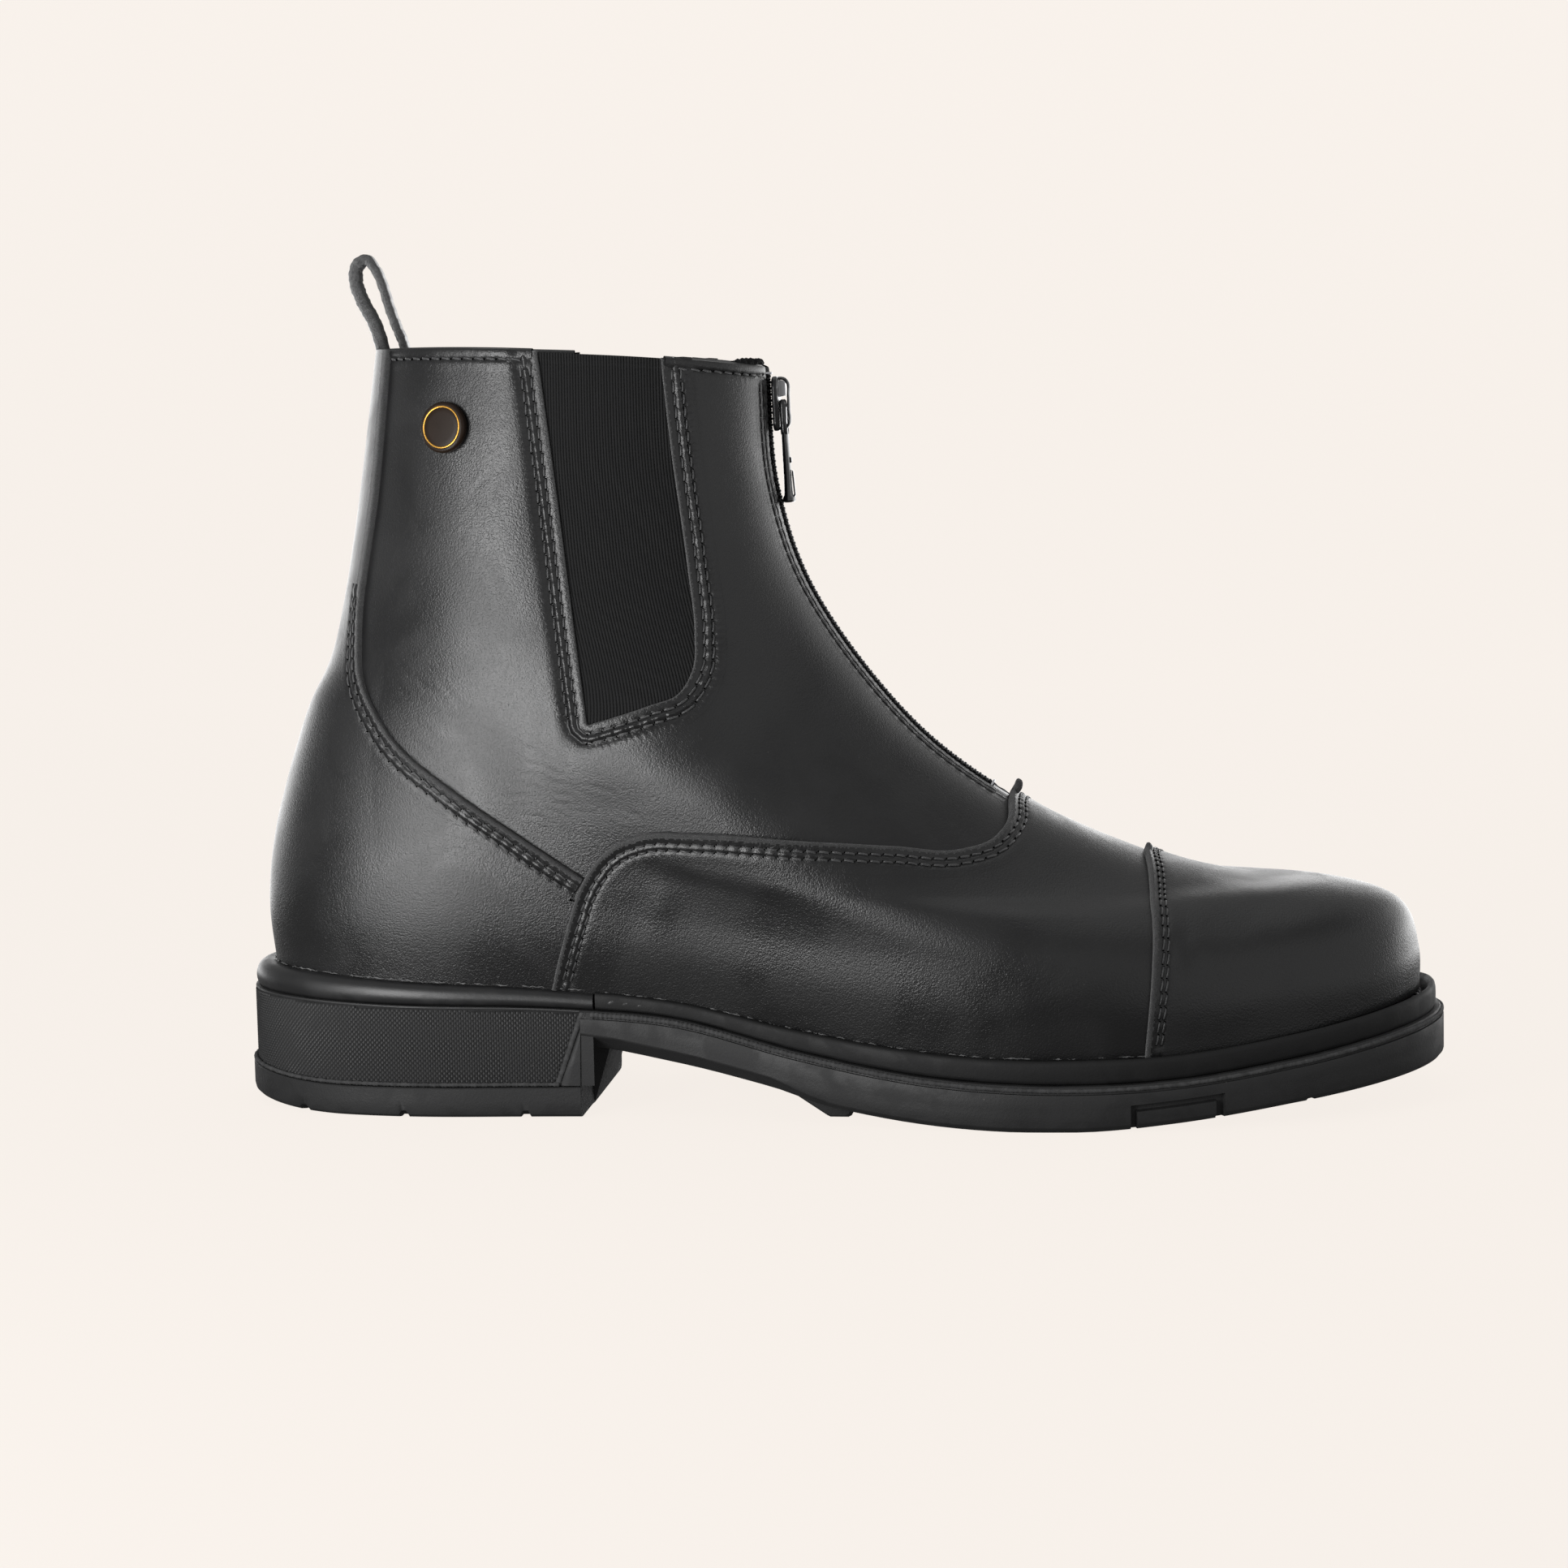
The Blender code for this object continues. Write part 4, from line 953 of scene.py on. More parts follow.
@dataclass(frozen=True)
class Finish:
    """A finish: colours, polish and the effect that shapes its skin."""

    name: str
    colour: Colour
    shade: Colour
    roughness: float
    swing: float = 0.06
    metallic: float = 0.0
    effect: Effect = Effect.MOULD
    size: float = 0.5
    depth: float = 0.03
    mottle: float = 14.0
    dust: float = 0.0
    coat: float = 0.0
    coat_roughness: float = 0.2
    sheen: float = 0.0
    specular: float = 0.5

    def material(self) -> bpy.types.Material:
        """The finish as a material, made once.

        Returns:
            The material.
        """
        known = bpy.data.materials.get(self.name)
        if known is not None:
            return known
        made = bpy.data.materials.new(self.name)
        made.use_nodes = True
        made.diffuse_color = (*self.colour, 1.0)
        pen = NodePen(made.node_tree)
        shader = made.node_tree.nodes["Principled BSDF"]
        for name, value in (
            ("Metallic", self.metallic), ("Coat Weight", self.coat), ("Coat Roughness", self.coat_roughness),
            ("Sheen Weight", self.sheen), ("Sheen Roughness", 0.5), ("Specular IOR Level", self.specular),
        ):
            shader.inputs[name].default_value = value
        drift = self._effect(pen, Effect.MOTTLE, self.mottle)
        skin = self._effect(pen, self.effect, self.size)
        tone = pen.node("ShaderNodeMix", data_type="RGBA")
        tone.inputs["A"].default_value = (*self.colour, 1.0)
        tone.inputs["B"].default_value = (*self.shade, 1.0)
        pen.link(pen.math("MULTIPLY", drift, 0.6), tone.inputs["Factor"])
        colour = tone.outputs["Result"]
        rough = pen.ramp(drift, 0.0, 1.0, self.roughness - self.swing, self.roughness + self.swing)
        if self.dust > 0:
            specks = self._effect(pen, Effect.DUST, DUST_SIZE)
            dusty = pen.node("ShaderNodeMix", data_type="RGBA")
            dusty.inputs["B"].default_value = DUST_COLOUR
            pen.link(pen.math("MULTIPLY", specks, self.dust), dusty.inputs["Factor"])
            pen.link(colour, dusty.inputs["A"])
            colour = dusty.outputs["Result"]
        pen.link(colour, shader.inputs["Base Color"])
        pen.link(rough, shader.inputs["Roughness"])
        bump = pen.node("ShaderNodeBump", Strength=1.0, Distance=self.depth * MM)
        pen.link(skin, bump.inputs["Height"])
        pen.link(bump.outputs["Normal"], shader.inputs["Normal"])
        return made

    @staticmethod
    def _effect(pen: NodePen, effect: Effect, size: float) -> Socket:
        """Place a shared effect in the material.

        Args:
            pen: draws the material's nodes.
            effect: the effect.
            size: its grain size.

        Returns:
            The height.
        """
        made = pen.node("ShaderNodeGroup", node_tree=EffectShelf.group(effect))
        made.inputs["Size"].default_value = size
        return made.outputs["Height"]


CALF = Finish(
    "black calf", (0.0085, 0.0085, 0.0088), (0.0125, 0.0125, 0.0128), 0.335, 0.05, effect=Effect.GRAIN,
    size=0.45, depth=0.068, mottle=22.0, dust=0.14,
)
RAW_EDGE = Finish(
    "raw leather edge", (0.022, 0.022, 0.0225), (0.060, 0.060, 0.061), 0.9, effect=Effect.NAP, size=0.5,
    depth=0.25, mottle=1.6, sheen=0.25,
)
SUEDE = Finish(
    "strap suede", (0.014, 0.014, 0.0145), (0.045, 0.045, 0.046), 0.95, effect=Effect.NAP, size=0.6,
    depth=0.35, mottle=1.6, sheen=0.45,
)
LINING = Finish(
    "lining", (0.020, 0.019, 0.018), (0.034, 0.031, 0.029), 0.75, effect=Effect.GRAIN, size=1.4, depth=0.05,
)
THREAD = Finish(
    "black thread", (0.026, 0.026, 0.027), (0.046, 0.046, 0.047), 0.42, effect=Effect.WEAVE, size=0.35,
    depth=0.05, mottle=3.0, sheen=0.3,
)
# Painted shade: near-black, matte finish for the discs that stand in for the dark inside of the needle holes.
PAINTED_HOLE_SHADE = Finish(
    "needle hole", (0.001, 0.001, 0.001), (0.002, 0.002, 0.002), 0.95, depth=0.01, specular=0.0,
)
ELASTIC = Finish(
    "ribbed elastic", (0.0055, 0.0055, 0.0057), (0.0100, 0.0100, 0.0104), 0.85, effect=Effect.WEAVE,
    size=0.42, depth=0.06, mottle=9.0, sheen=0.06, specular=0.25,
)
TAPE = Finish(
    "zip tape", (0.006, 0.006, 0.0065), (0.010, 0.010, 0.011), 0.8, effect=Effect.WEAVE, size=0.5,
    depth=0.08, specular=0.3,
)
TOOTH = Finish("zip tooth", (0.006, 0.006, 0.007), (0.010, 0.010, 0.011), 0.36, size=0.8, depth=0.01)
ENAMEL = Finish(
    "black enamel", (0.005, 0.005, 0.006), (0.008, 0.008, 0.009), 0.26, 0.04, size=1.2, depth=0.01,
    coat=0.3, coat_roughness=0.15,
)
NICKEL = Finish(
    "bright nickel", (0.62, 0.62, 0.63), (0.50, 0.50, 0.52), 0.28, metallic=1.0, size=0.8, depth=0.02,
)
BRONZE = Finish(
    "dark bronze", (0.0095, 0.0048, 0.0024), (0.016, 0.0085, 0.0045), 0.42, size=1.2, depth=0.01,
    specular=0.2,
)
GOLD = Finish(
    "gold ring", (0.66, 0.36, 0.075), (0.52, 0.27, 0.05), 0.34, metallic=1.0, size=0.6, depth=0.01,
)
CEMENT = Finish(
    "dried cement", (0.06, 0.06, 0.061), (0.20, 0.20, 0.20), 0.7, size=0.5, depth=0.1, mottle=1.2,
)
# Pale rubber: on the heel panel's frame its pale colour is a painted highlight; on the outsole's bead it is
# only a lighter tone than the outsole.
PALE_RUBBER = Finish(
    "pale rubber", (0.034, 0.034, 0.0345), (0.085, 0.085, 0.086), 0.8, size=0.5, depth=0.12, mottle=1.6,
    dust=0.4, specular=0.4,
)
RUBBER = Finish(
    "black rubber", (0.0140, 0.0140, 0.0144), (0.0210, 0.0210, 0.0215), 0.58, 0.07, size=0.7, depth=0.045,
    mottle=7.0, dust=0.5, specular=0.45,
)
ROLL = Finish(
    "smooth rubber", (0.0110, 0.0110, 0.0114), (0.0160, 0.0160, 0.0165), 0.42, 0.05, size=0.9, depth=0.03,
    mottle=9.0, dust=0.3,
)
# Painted shade: a darker copy of the outsole's rubber for the welt, standing in for the shade under the
# upper's overhang.
SHADED_WELT_RUBBER = Finish(
    "welt rubber with painted shade", (0.0050, 0.0050, 0.0052), (0.0085, 0.0085, 0.0088), 0.62, 0.05, size=0.8, depth=0.04,
    mottle=6.0, dust=0.25, specular=0.35,
)


@dataclass(frozen=True)
class BandStyle:
    """A seam's border on its panel: rounded cut edge, stitch rows in channels."""

    width: float = 7.0
    rows: tuple[float, ...] = (1.9, 4.1)
    lift: float = 0.25
    drop: float = 1.9
    roll: float = 0.5
    rim: float = 0.3
    channel: float = 0.26
    pitch: float = 3.05
    thread: float = 0.23
    cover: float = 0.05
    pucker: float = 0.18
    gather: float = 0.0
    nub: float = 0.0

    def height(self, s: Array, inward: Array) -> Array:
        """Height over the panel at lengths along the seam and distances into it.

        Args:
            s: lengths along the seam.
            inward: distances into the panel.

        Returns:
            The heights.
        """
        fade = 1 - ease(inward, 0.75 * self.width, self.width)
        rise = self.cover * (0.4 + 0.6 * fade) + self.lift * np.exp(-np.maximum(inward, 0) / 0.9) * fade
        for row in self.rows:
            pull = 0.72 + 0.28 * np.cos(2 * np.pi * s / self.pitch)
            rise = rise - self.channel * pull * np.exp(-(((inward - row) / 0.62) ** 2)) * fade
            fold = 0.5 + 0.5 * np.cos(4 * np.pi * s / self.pitch + 1.3 * np.sin(0.7 * s))
            rise = rise + self.gather * fold * np.exp(-(((inward - row - 1.3) / 0.8) ** 2)) * fade
        for near, far in zip(self.rows[:-1], self.rows[1:]):
            pillow = 0.65 - 0.35 * np.cos(2 * np.pi * s / self.pitch) + 0.15 * np.sin(0.83 * s)
            rise = rise + self.pucker * pillow * np.exp(-(((inward - (near + far) / 2) / 0.62) ** 2))
        return rise


class SeamWork:
    """Lays the borders of the panels and sews them."""

    stitch_half: float = 0.44
    slant: float = 0.16
    hole_long: float = 0.26
    hole_wide: float = 0.25

    def __init__(self, last: Last) -> None:
        """Start the threads of the whole boot and the black discs that paint the shade in its needle holes.

        Args:
            last: the form the seams lie on.
        """
        self.last = last
        self.threads = MeshDraft()
        self.holes = MeshDraft()

    def border(
        self, draft: MeshDraft, line: SeamLine, rise: Rise, style: BandStyle, ends: Span | None = None
    ) -> None:
        """Lay a seam's border and sew its rows.

        Args:
            draft: the piece the border belongs to; tint 1 is its cut edge.
            line: the seam.
            rise: height of the panel.
            style: the border's sizes.
            ends: lengths along the seam where it starts and stops; without them, all of it.
        """
        ends = ends or (0.0, line.length)
        count = max(8, round((ends[1] - ends[0]) / 0.45))
        s = np.linspace(*ends, count)
        fine, coarse = np.linspace(0, 0.62 * style.width, 15), np.linspace(0.68, 1.0, 5) * style.width
        inward = np.concatenate([fine, coarse])
        roll = style.roll
        edge_in = np.array([-0.9 * roll, -1.0 * roll, -0.92 * roll, -0.62 * roll, -0.25 * roll])
        edge_drop = np.array([style.drop, 0.95 * roll + 0.2, 0.45 * roll, 0.16 * roll, 0.03 * roll])
        places = line.beside(s, np.concatenate([edge_in, inward]))
        height = rise(*split(places))
        top = height[:, len(edge_in):] + style.height(s[:, None], inward[None])
        ridge = 1 - ease(np.abs(s - line.length / 2), 0.7, 2.0)
        top = top + style.nub * ridge[:, None] * (1 - ease(inward, 0.7, 1.7))[None]
        height[:, len(edge_in):] = top
        height[:, : len(edge_in)] = top[:, :1] - edge_drop[None]
        numbers = draft.points(self.last.offset(*split(places), height))
        raw = len(edge_in) + int(np.searchsorted(inward, style.rim))
        ragged = np.sin(2.9 * s[:-1]) + np.sin(7.3 * s[:-1] + 1.0) > 0.3
        draft.weave(numbers[:, :raw], 1)
        draft.weave(numbers[:, raw - 1: raw + 1], 1, ragged[:, None])
        draft.weave(numbers[:, raw - 1: raw + 1], 0, ~ragged[:, None])
        draft.weave(numbers[:, raw:], 0)
        for row in style.rows:
            self.sew(line, rise, style, row, ends)

    def sew(self, line: SeamLine, rise: Rise, style: BandStyle, row: float, ends: Span) -> None:
        """Sew one row of stitches beside a seam.

        Args:
            line: the seam.
            rise: height of the panel.
            style: the border's sizes.
            row: distance of the row into the panel.
            ends: lengths along the seam where the row starts and stops.
        """
        first = math.ceil(ends[0] / style.pitch + 0.3)
        last_one = math.floor(ends[1] / style.pitch - 0.3)
        middles = (np.arange(first, last_one) + 0.5) * style.pitch
        if len(middles) == 0:
            return
        reach = np.array([-1.0, -0.86, -0.5, 0.0, 0.5, 0.86, 1.0])
        arch = np.array([-0.34, -0.06, 0.13, 0.19, 0.13, -0.06, -0.34])
        thick = np.array([0.45, 0.9, 1.0, 1.0, 1.0, 0.9, 0.45]) * style.thread
        s = (middles[:, None] + self.stitch_half * style.pitch * reach).ravel()
        places = line.beside(s, np.array([row]))[:, 0]
        slant = line.inward(s) * np.tile(self.slant * reach, len(middles))[:, None]
        places = self.last.moved(places, slant).reshape(len(middles), len(reach), 2)
        floor = rise(*split(places)) + style.height(
            np.repeat(middles[:, None], len(reach), axis=1), np.full(places.shape[:2], row))
        up = self.last.normal(*split(places))
        centres = self.last.offset(*split(places), floor + arch)
        along = unit(np.gradient(centres, axis=1))
        across = unit(np.cross(along, up))
        self.threads.tubes(centres, across * thick[:, None], unit(np.cross(across, along)) * thick[:, None])
        # Painted shade: a flat black disc at each end of a stitch stands for the dark needle hole; nothing is
        # cut.
        ring = np.linspace(0, 2 * np.pi, 7, endpoint=False)
        for end in (0, -1):
            middle = centres[:, end] + up[:, end] * (0.07 - arch[end])
            disc = np.cos(ring)[:, None] * along[:, None, end] * self.hole_long
            disc = disc + np.sin(ring)[:, None] * across[:, None, end] * self.hole_wide
            self.holes.faces(self.holes.points(middle[:, None] + disc))

    def finish(self) -> None:
        """Make the threads and the needle holes' painted shade discs into pieces."""
        self.threads.piece("seam_thread", [THREAD], "leather", sharp=80.0)
        self.holes.piece("needle_hole_shade", [PAINTED_HOLE_SHADE], "leather")


def polygon_distance(x: Array, z: Array, outline: Array) -> Array:
    """Distance from side-view places to a closed outline, negative inside.

    Args:
        x: places along the boot.
        z: heights.
        outline: corners of the outline, as rows of x and z.

    Returns:
        The signed distances.
    """
    best = np.full(x.shape, np.inf)
    inside = np.zeros(x.shape, bool)
    for (ax, az), (bx, bz) in zip(outline, np.roll(outline, -1, axis=0)):
        leg_x, leg_z = bx - ax, bz - az
        t = np.clip(((x - ax) * leg_x + (z - az) * leg_z) / max(leg_x**2 + leg_z**2, 1e-9), 0, 1)
        best = np.minimum(best, np.hypot(x - ax - t * leg_x, z - az - t * leg_z))
        crosses = (az > z) != (bz > z)
        with np.errstate(divide="ignore", invalid="ignore"):
            inside ^= crosses & (x < ax + (z - az) * leg_x / (bz - az))
    return np.where(inside, -best, best)


@dataclass
class Upper:
    """The leather upper: quarters, collar, lining, vamp, toe cap and counter."""

    last: Last
    seams: SeamWork
    vamp_rise: float = 1.6
    counter_rise: float = 1.3
    cap_rise: float = 2.5
    zip_half: float = 3.5
    zip_foot: float = 0.622
    roll: float = 0.6
    strap: float = 58.0
    collar_lap: float = 0.02
    collar_back: float = 3.10
    collar_front: float = 0.115
    cap_edge: BandStyle = BandStyle(
        rows=(1.7, 2.9), lift=0.55, drop=2.4, roll=0.75, rim=0.5, thread=0.19, nub=0.9,
    )
    vamp_edge: BandStyle = BandStyle(rows=(1.8, 3.6), lift=0.35, drop=2.4, roll=0.65, rim=0.35)
    counter_edge: BandStyle = BandStyle(rows=(1.5, 3.6), lift=0.25, drop=1.7, roll=0.6, rim=0.35, pucker=0.3)
    strap_edge: BandStyle = BandStyle(rows=(), lift=0.25, drop=1.7, roll=0.8, rim=1.8)
    gore_edge: BandStyle = BandStyle(
        width=7.2, rows=(1.9, 4.2), lift=0.0, drop=1.9, roll=0.35, rim=0.2, channel=0.40,
        pucker=0.42, gather=0.26,
    )
    zip_edge: BandStyle = BandStyle(width=7.4, rows=(2.6, 4.9), lift=0.15, drop=2.0, roll=0.5)
    collar_edge: BandStyle = BandStyle(
        width=5.4, rows=(2.3,), lift=0.0, drop=0.6, roll=0.5, channel=0.34, gather=0.12,
    )

    def build(self) -> None:
        """Build all the leather pieces and sew them."""
        wrinkles = QUARTER_CREASES + FINE_WRINKLES
        self.quarter_relief = Relief(self.last, 0.0, wrinkles, padding=self._gore_padding)
        self.vamp_relief = Relief(self.last, self.vamp_rise, VAMP_CREASES)
        self.cap_relief = Relief(self.last, self.cap_rise, CAP_CREASES)
        self.counter_relief = Relief(self.last, self.counter_rise, COUNTER_CREASES)
        self.cap_line, self.vamp_line = (
            SeamLine(self.last, self._over_front(spots, level), -1.0)
            for spots, level in ((CAP_SEAM, CAP_RIDGE_LEVEL), (VAMP_SEAM, VAMP_RIDGE_LEVEL))
        )
        self._quarters()
        self._lining()
        self._counter()
        self._vamp()
        self._cap()

    def _over_front(self, spots: Sequence[Spot], ridge_level: float) -> Array:
        """Knots of a seam from the outer feather line over the front to the inner one.

        Args:
            spots: side-view points below the ridge.
            ridge_level: level on the front line.

        Returns:
            Rows of (level, turn).
        """
        ridge = Spot(*(float(value) for value in self.last.side_view(np.array(ridge_level), np.array(0.0))))
        outer = self.last.trace([ridge, *spots], power=2.0)
        outer[0] = ridge_level, 0.0
        outer[-1, 0] = 0.0
        return np.concatenate([outer[::-1], outer[1:] * [1.0, -1.0]])

    def gore_line(self, side: Side) -> SeamLine:
        """The edge of a gore's window, down its back, along its foot and up its front.

        Args:
            side: the side of the foot.

        Returns:
            The line.
        """
        knots = self.last.trace(GORE_EDGE, side, count=220)
        knots = knots[knots[:, 0] < COLLAR_LEVEL]
        knots[0, 0] = knots[-1, 0] = COLLAR_LEVEL
        return SeamLine(self.last, knots, -side.value)

    def gore_distance(self, level: Array, turn: Array) -> Array:
        """Distance from the gores' windows in the side view, negative inside.

        Args:
            level: how far up the upper.
            turn: angle round the boot.

        Returns:
            The distances.
        """
        outline = np.array([(GORE_EDGE[0].x - 0.5, 200.0), *GORE_EDGE, (GORE_EDGE[-1].x, 200.0)])
        place = self.last.face(level, turn)
        return polygon_distance(place[..., 0], place[..., 2], outline)

    def _gore_padding(self, level: Array, turn: Array) -> Array:
        """Height of the padded roll round a gore's window, which its stitching holds down."""
        away = self.gore_distance(level, turn)
        return self.roll * ease(away, 4.4, 7.0) * (1 - ease(away, 7.0, 22.0))

    def _shell_mask(self, level: Array, turn: Array, gore_room: float, zip_room: float) -> Array:
        """Which quads of the shell stay, outside the gores' windows and the zip's slot.

        Args:
            level: how far up the upper.
            turn: angle round the boot.
            gore_room: distance to keep from the windows.
            zip_room: half width of the slot.

        Returns:
            One mark for each quad.
        """
        middle_level = (level[:-1, :-1] + level[1:, 1:]) / 2
        middle_turn = (turn[:-1, :-1] + turn[1:, 1:]) / 2
        place = self.last.face(middle_level, middle_turn)
        front = self.last.face(middle_level, np.zeros_like(middle_turn))
        in_slot = (np.abs(place[..., 1] - front[..., 1]) < zip_room) & (np.abs(middle_turn) < 1.0)
        in_slot &= middle_level > self.zip_foot
        return (self.gore_distance(middle_level, middle_turn) > gore_room) & ~in_slot

    def _quarters(self) -> None:
        """Both quarters with their borders at gore, zip and collar."""
        for side in Side:
            draft = MeshDraft()
            turns = np.interp(np.linspace(0, 1, 290), [0.0, 0.27, 0.83, 1.0], [0.0, 1.35, 2.62, np.pi])
            levels = np.interp(np.linspace(0, 1, 186), [0.0, 0.07, 0.55, 1.0], [0.2, 0.36, 0.72, 0.985])
            level, turn = np.meshgrid(levels, side.value * turns, indexing="ij")
            rise = self.quarter_relief(level, turn)
            zip_room = self.zip_half + self.zip_edge.width - 2.0
            keep = self._shell_mask(level, turn, self.gore_edge.width - 2.4, zip_room)
            draft.grid(self.last.offset(level, turn, rise), 0, keep)
            line = self.gore_line(side)
            self.seams.border(draft, line, self.quarter_relief, self.gore_edge)
            self._zip_border(draft, side)
            self._collar(draft, side)
            draft.piece("quarter_" + side.name.lower(), [CALF, RAW_EDGE], "leather", ["upper"])

    def zip_line(self, side: Side) -> SeamLine:
        """The quarter's edge along the zip on one side.

        Args:
            side: the side of the foot.

        Returns:
            The line.
        """
        levels = np.linspace(self.zip_foot - 0.012, COLLAR_LEVEL, 14)
        middle = SeamLine(self.last, np.stack([levels, np.zeros_like(levels)], axis=-1), side.value)
        s = np.linspace(0, middle.length, 30)
        return SeamLine(self.last, middle.beside(s, np.array([self.zip_half]))[:, 0], side.value)

    def _zip_border(self, draft: MeshDraft, side: Side) -> None:
        """The quarter's border along the zip."""
        line = self.zip_line(side)
        self.seams.border(draft, line, self.quarter_relief, self.zip_edge)

    def _collar(self, draft: MeshDraft, side: Side) -> None:
        """The folded collar of the back and front quarter on one side.

        Args:
            draft: the piece it belongs to.
            side: the side of the foot.
        """
        gore = self.last.locate([GORE_EDGE[0], GORE_EDGE[-1]], side)[:, 1]
        lap = side.value * self.collar_lap
        back, front = side.value * self.collar_back, side.value * self.collar_front
        spans = (back, gore[0] + lap), (gore[1] - lap, front)
        style = self.collar_edge
        for start, end in spans:
            turns = np.linspace(start, end, 40)
            line = SeamLine(self.last, np.stack([np.full(40, COLLAR_LEVEL), turns], axis=-1), -side.value)
            s = np.linspace(0, line.length, round(line.length / 0.6))
            inward = style.width * np.concatenate([np.linspace(0, 0.7, 14), [0.85, 1.0]])
            fold = np.array([
                (2.6, -2.3), (1.2, -2.4), (0.3, -2.35), (-0.35, -1.9), (-0.55, -1.2), (-0.5, -0.5),
                (-0.28, -0.12),
            ])
            places = line.beside(s, np.concatenate([np.maximum(fold[:, 0], 0.0), inward]))
            height = self.quarter_relief(*split(places))
            swell = 0.42 * np.sqrt(np.clip(1 - ((inward - 1.0) / 1.25) ** 2, 0, 1))
            height[:, len(fold):] += style.height(s[:, None], inward[None]) + swell
            height[:, : len(fold)] = fold[:, 1]
            points = self.last.offset(*split(places), height)
            points[:, : len(fold), 2] += np.maximum(-fold[:, 0], 0.0)
            draft.grid(points, 0)
            self.seams.sew(line, self.quarter_relief, style, style.rows[0], (0.0, line.length))

    def _lining(self) -> None:
        """The lining inside, from the collar down to the insole."""
        draft = MeshDraft()
        level, turn = np.meshgrid(np.linspace(0.0, 0.99, 70), np.linspace(-np.pi, np.pi, 201), indexing="ij")
        keep = self._shell_mask(level, turn, 3.0, self.zip_half + 2.0)
        draft.grid(self.last.offset(level, turn, -self.last.wall), 0, keep)
        draft.piece("lining", [LINING], "lining")

    def _counter(self) -> None:
        """The heel counter with its strap up the back."""
        draft = MeshDraft()
        edges = []
        for side in Side:
            knots = self.last.trace(COUNTER_EDGE, side)
            knots[0, 0] = COLLAR_LEVEL
            line = SeamLine(self.last, knots, -side.value)
            self.seams.border(draft, line, self.counter_relief, self.strap_edge, (0.0, self.strap))
            self.seams.border(draft, line, self.counter_relief, self.counter_edge, (self.strap, line.length))
            hidden = self.last.locate(VAMP_SEAM[-3:], side) + [0.0, -0.06 * side.value]
            hidden[-1, 0] = 0.0
            width = np.array([self.counter_edge.width - 1.0])
            inner = line.beside(np.linspace(0, line.length, 110), width)[:, 0]
            foot = smooth_through(np.arange(3), hidden, np.linspace(0.35, 2, 40))
            edges.append(np.concatenate([inner, foot]))
        outer, inner = edges
        share = np.linspace(0, 1, 110)[None, :, None]
        back = np.stack([(outer[:, 0] + inner[:, 0]) / 2, np.full(len(outer), np.pi)], axis=-1)[:, None]
        half = (1 - share) * outer[:, None] + share * back
        other = half[:, -2::-1] * [1.0, -1.0] + [0.0, 2 * np.pi]
        grid = np.concatenate([half, other], axis=1)
        rise = self.counter_relief(grid[..., 0], (grid[..., 1] + np.pi) % (2 * np.pi) - np.pi)
        draft.grid(self.last.offset(*split(grid), rise), 0)
        draft.piece("heel_counter_cover", [CALF, RAW_EDGE], "leather", ["heel_counter"])

    def _vamp(self) -> None:
        """The vamp from under the toe cap to its edge over quarters and counter."""
        draft = MeshDraft()
        line = self.vamp_line
        self.seams.border(draft, line, self.vamp_relief, self.vamp_edge)
        across = np.linspace(0, 1, 241)
        front = self.cap_line.beside(across * self.cap_line.length, np.array([4.0]))[:, 0]
        back = line.beside(across * line.length, np.array([self.vamp_edge.width - 1.0]))[:, 0]
        share = np.linspace(0, 1, 90)[:, None, None]
        grid = (1 - share) * front + share * back
        draft.grid(self.last.offset(*split(grid), self.vamp_relief(*split(grid))), 0)
        self._tongue(draft)
        draft.piece("vamp_cover", [CALF, RAW_EDGE], "leather", ["vamp"])

    def _tongue(self, draft: MeshDraft) -> None:
        """The vamp's cut edge standing up where both its sides meet at the front.

        Args:
            draft: the piece it belongs to.
        """
        level, turn = np.array(VAMP_RIDGE_LEVEL), np.array(0.0)
        base, out = self.last.face(level, turn), self.last.normal(level, turn)
        along, side = unit(self.last.tangents(level, turn)[0]), ACROSS
        rows = np.array([
            (-1.0, 0.0, 1.5, 0.8), (1.4, 0.1, 1.7, 1.0), (2.2, 0.0, 1.7, 1.1), (3.0, 0.0, 1.6, 1.1),
            (3.8, 0.2, 1.5, 1.05), (4.4, 0.4, 1.25, 0.9), (4.8, 0.5, 0.8, 0.55),
        ])
        centres = base + rows[:, :1] * out + (rows[:, 1:2] - 0.2) * along
        draft.tubes(centres[None], (rows[:, 2:3] * side)[None], (rows[:, 3:] * along)[None], 1)

    def _cap(self) -> None:
        """The toe cap, its edge over the vamp."""
        draft = MeshDraft()
        line = self.cap_line
        self.seams.border(draft, line, self.cap_relief, self.cap_edge)
        ridge = line.length / 2
        corner = 0.48 * ridge
        s = np.linspace(0, 1, 81)
        width = np.array([self.cap_edge.width - 1.0])
        left = line.beside(corner * s, width)[:, 0]
        top = line.beside(corner + (ridge - corner) * s, width)[:, 0]
        top[-1, 1] = 0.0
        left[0, 0] = 0.0
        low = left[:1] * (1 - s[:, None])
        right = top[-1:] * s[:, None]
        u = s[None, :, None]
        v = s[:, None, None]
        blend = (1 - v) * low[None] + v * top[None] + (1 - u) * left[:, None] + u * right[:, None]
        corners = (1 - u) * (1 - v) * low[0] + u * (1 - v) * low[-1] + (1 - u) * v * top[0] + u * v * top[-1]
        half = blend - corners
        grid = np.concatenate([half, half[:, -2::-1] * [1.0, -1.0]], axis=1)
        draft.grid(self.last.offset(*split(grid), self.cap_relief(*split(grid))), 0)
        draft.piece("toe_cap_cover", [CALF, RAW_EDGE], "leather", ["toe_cap"])


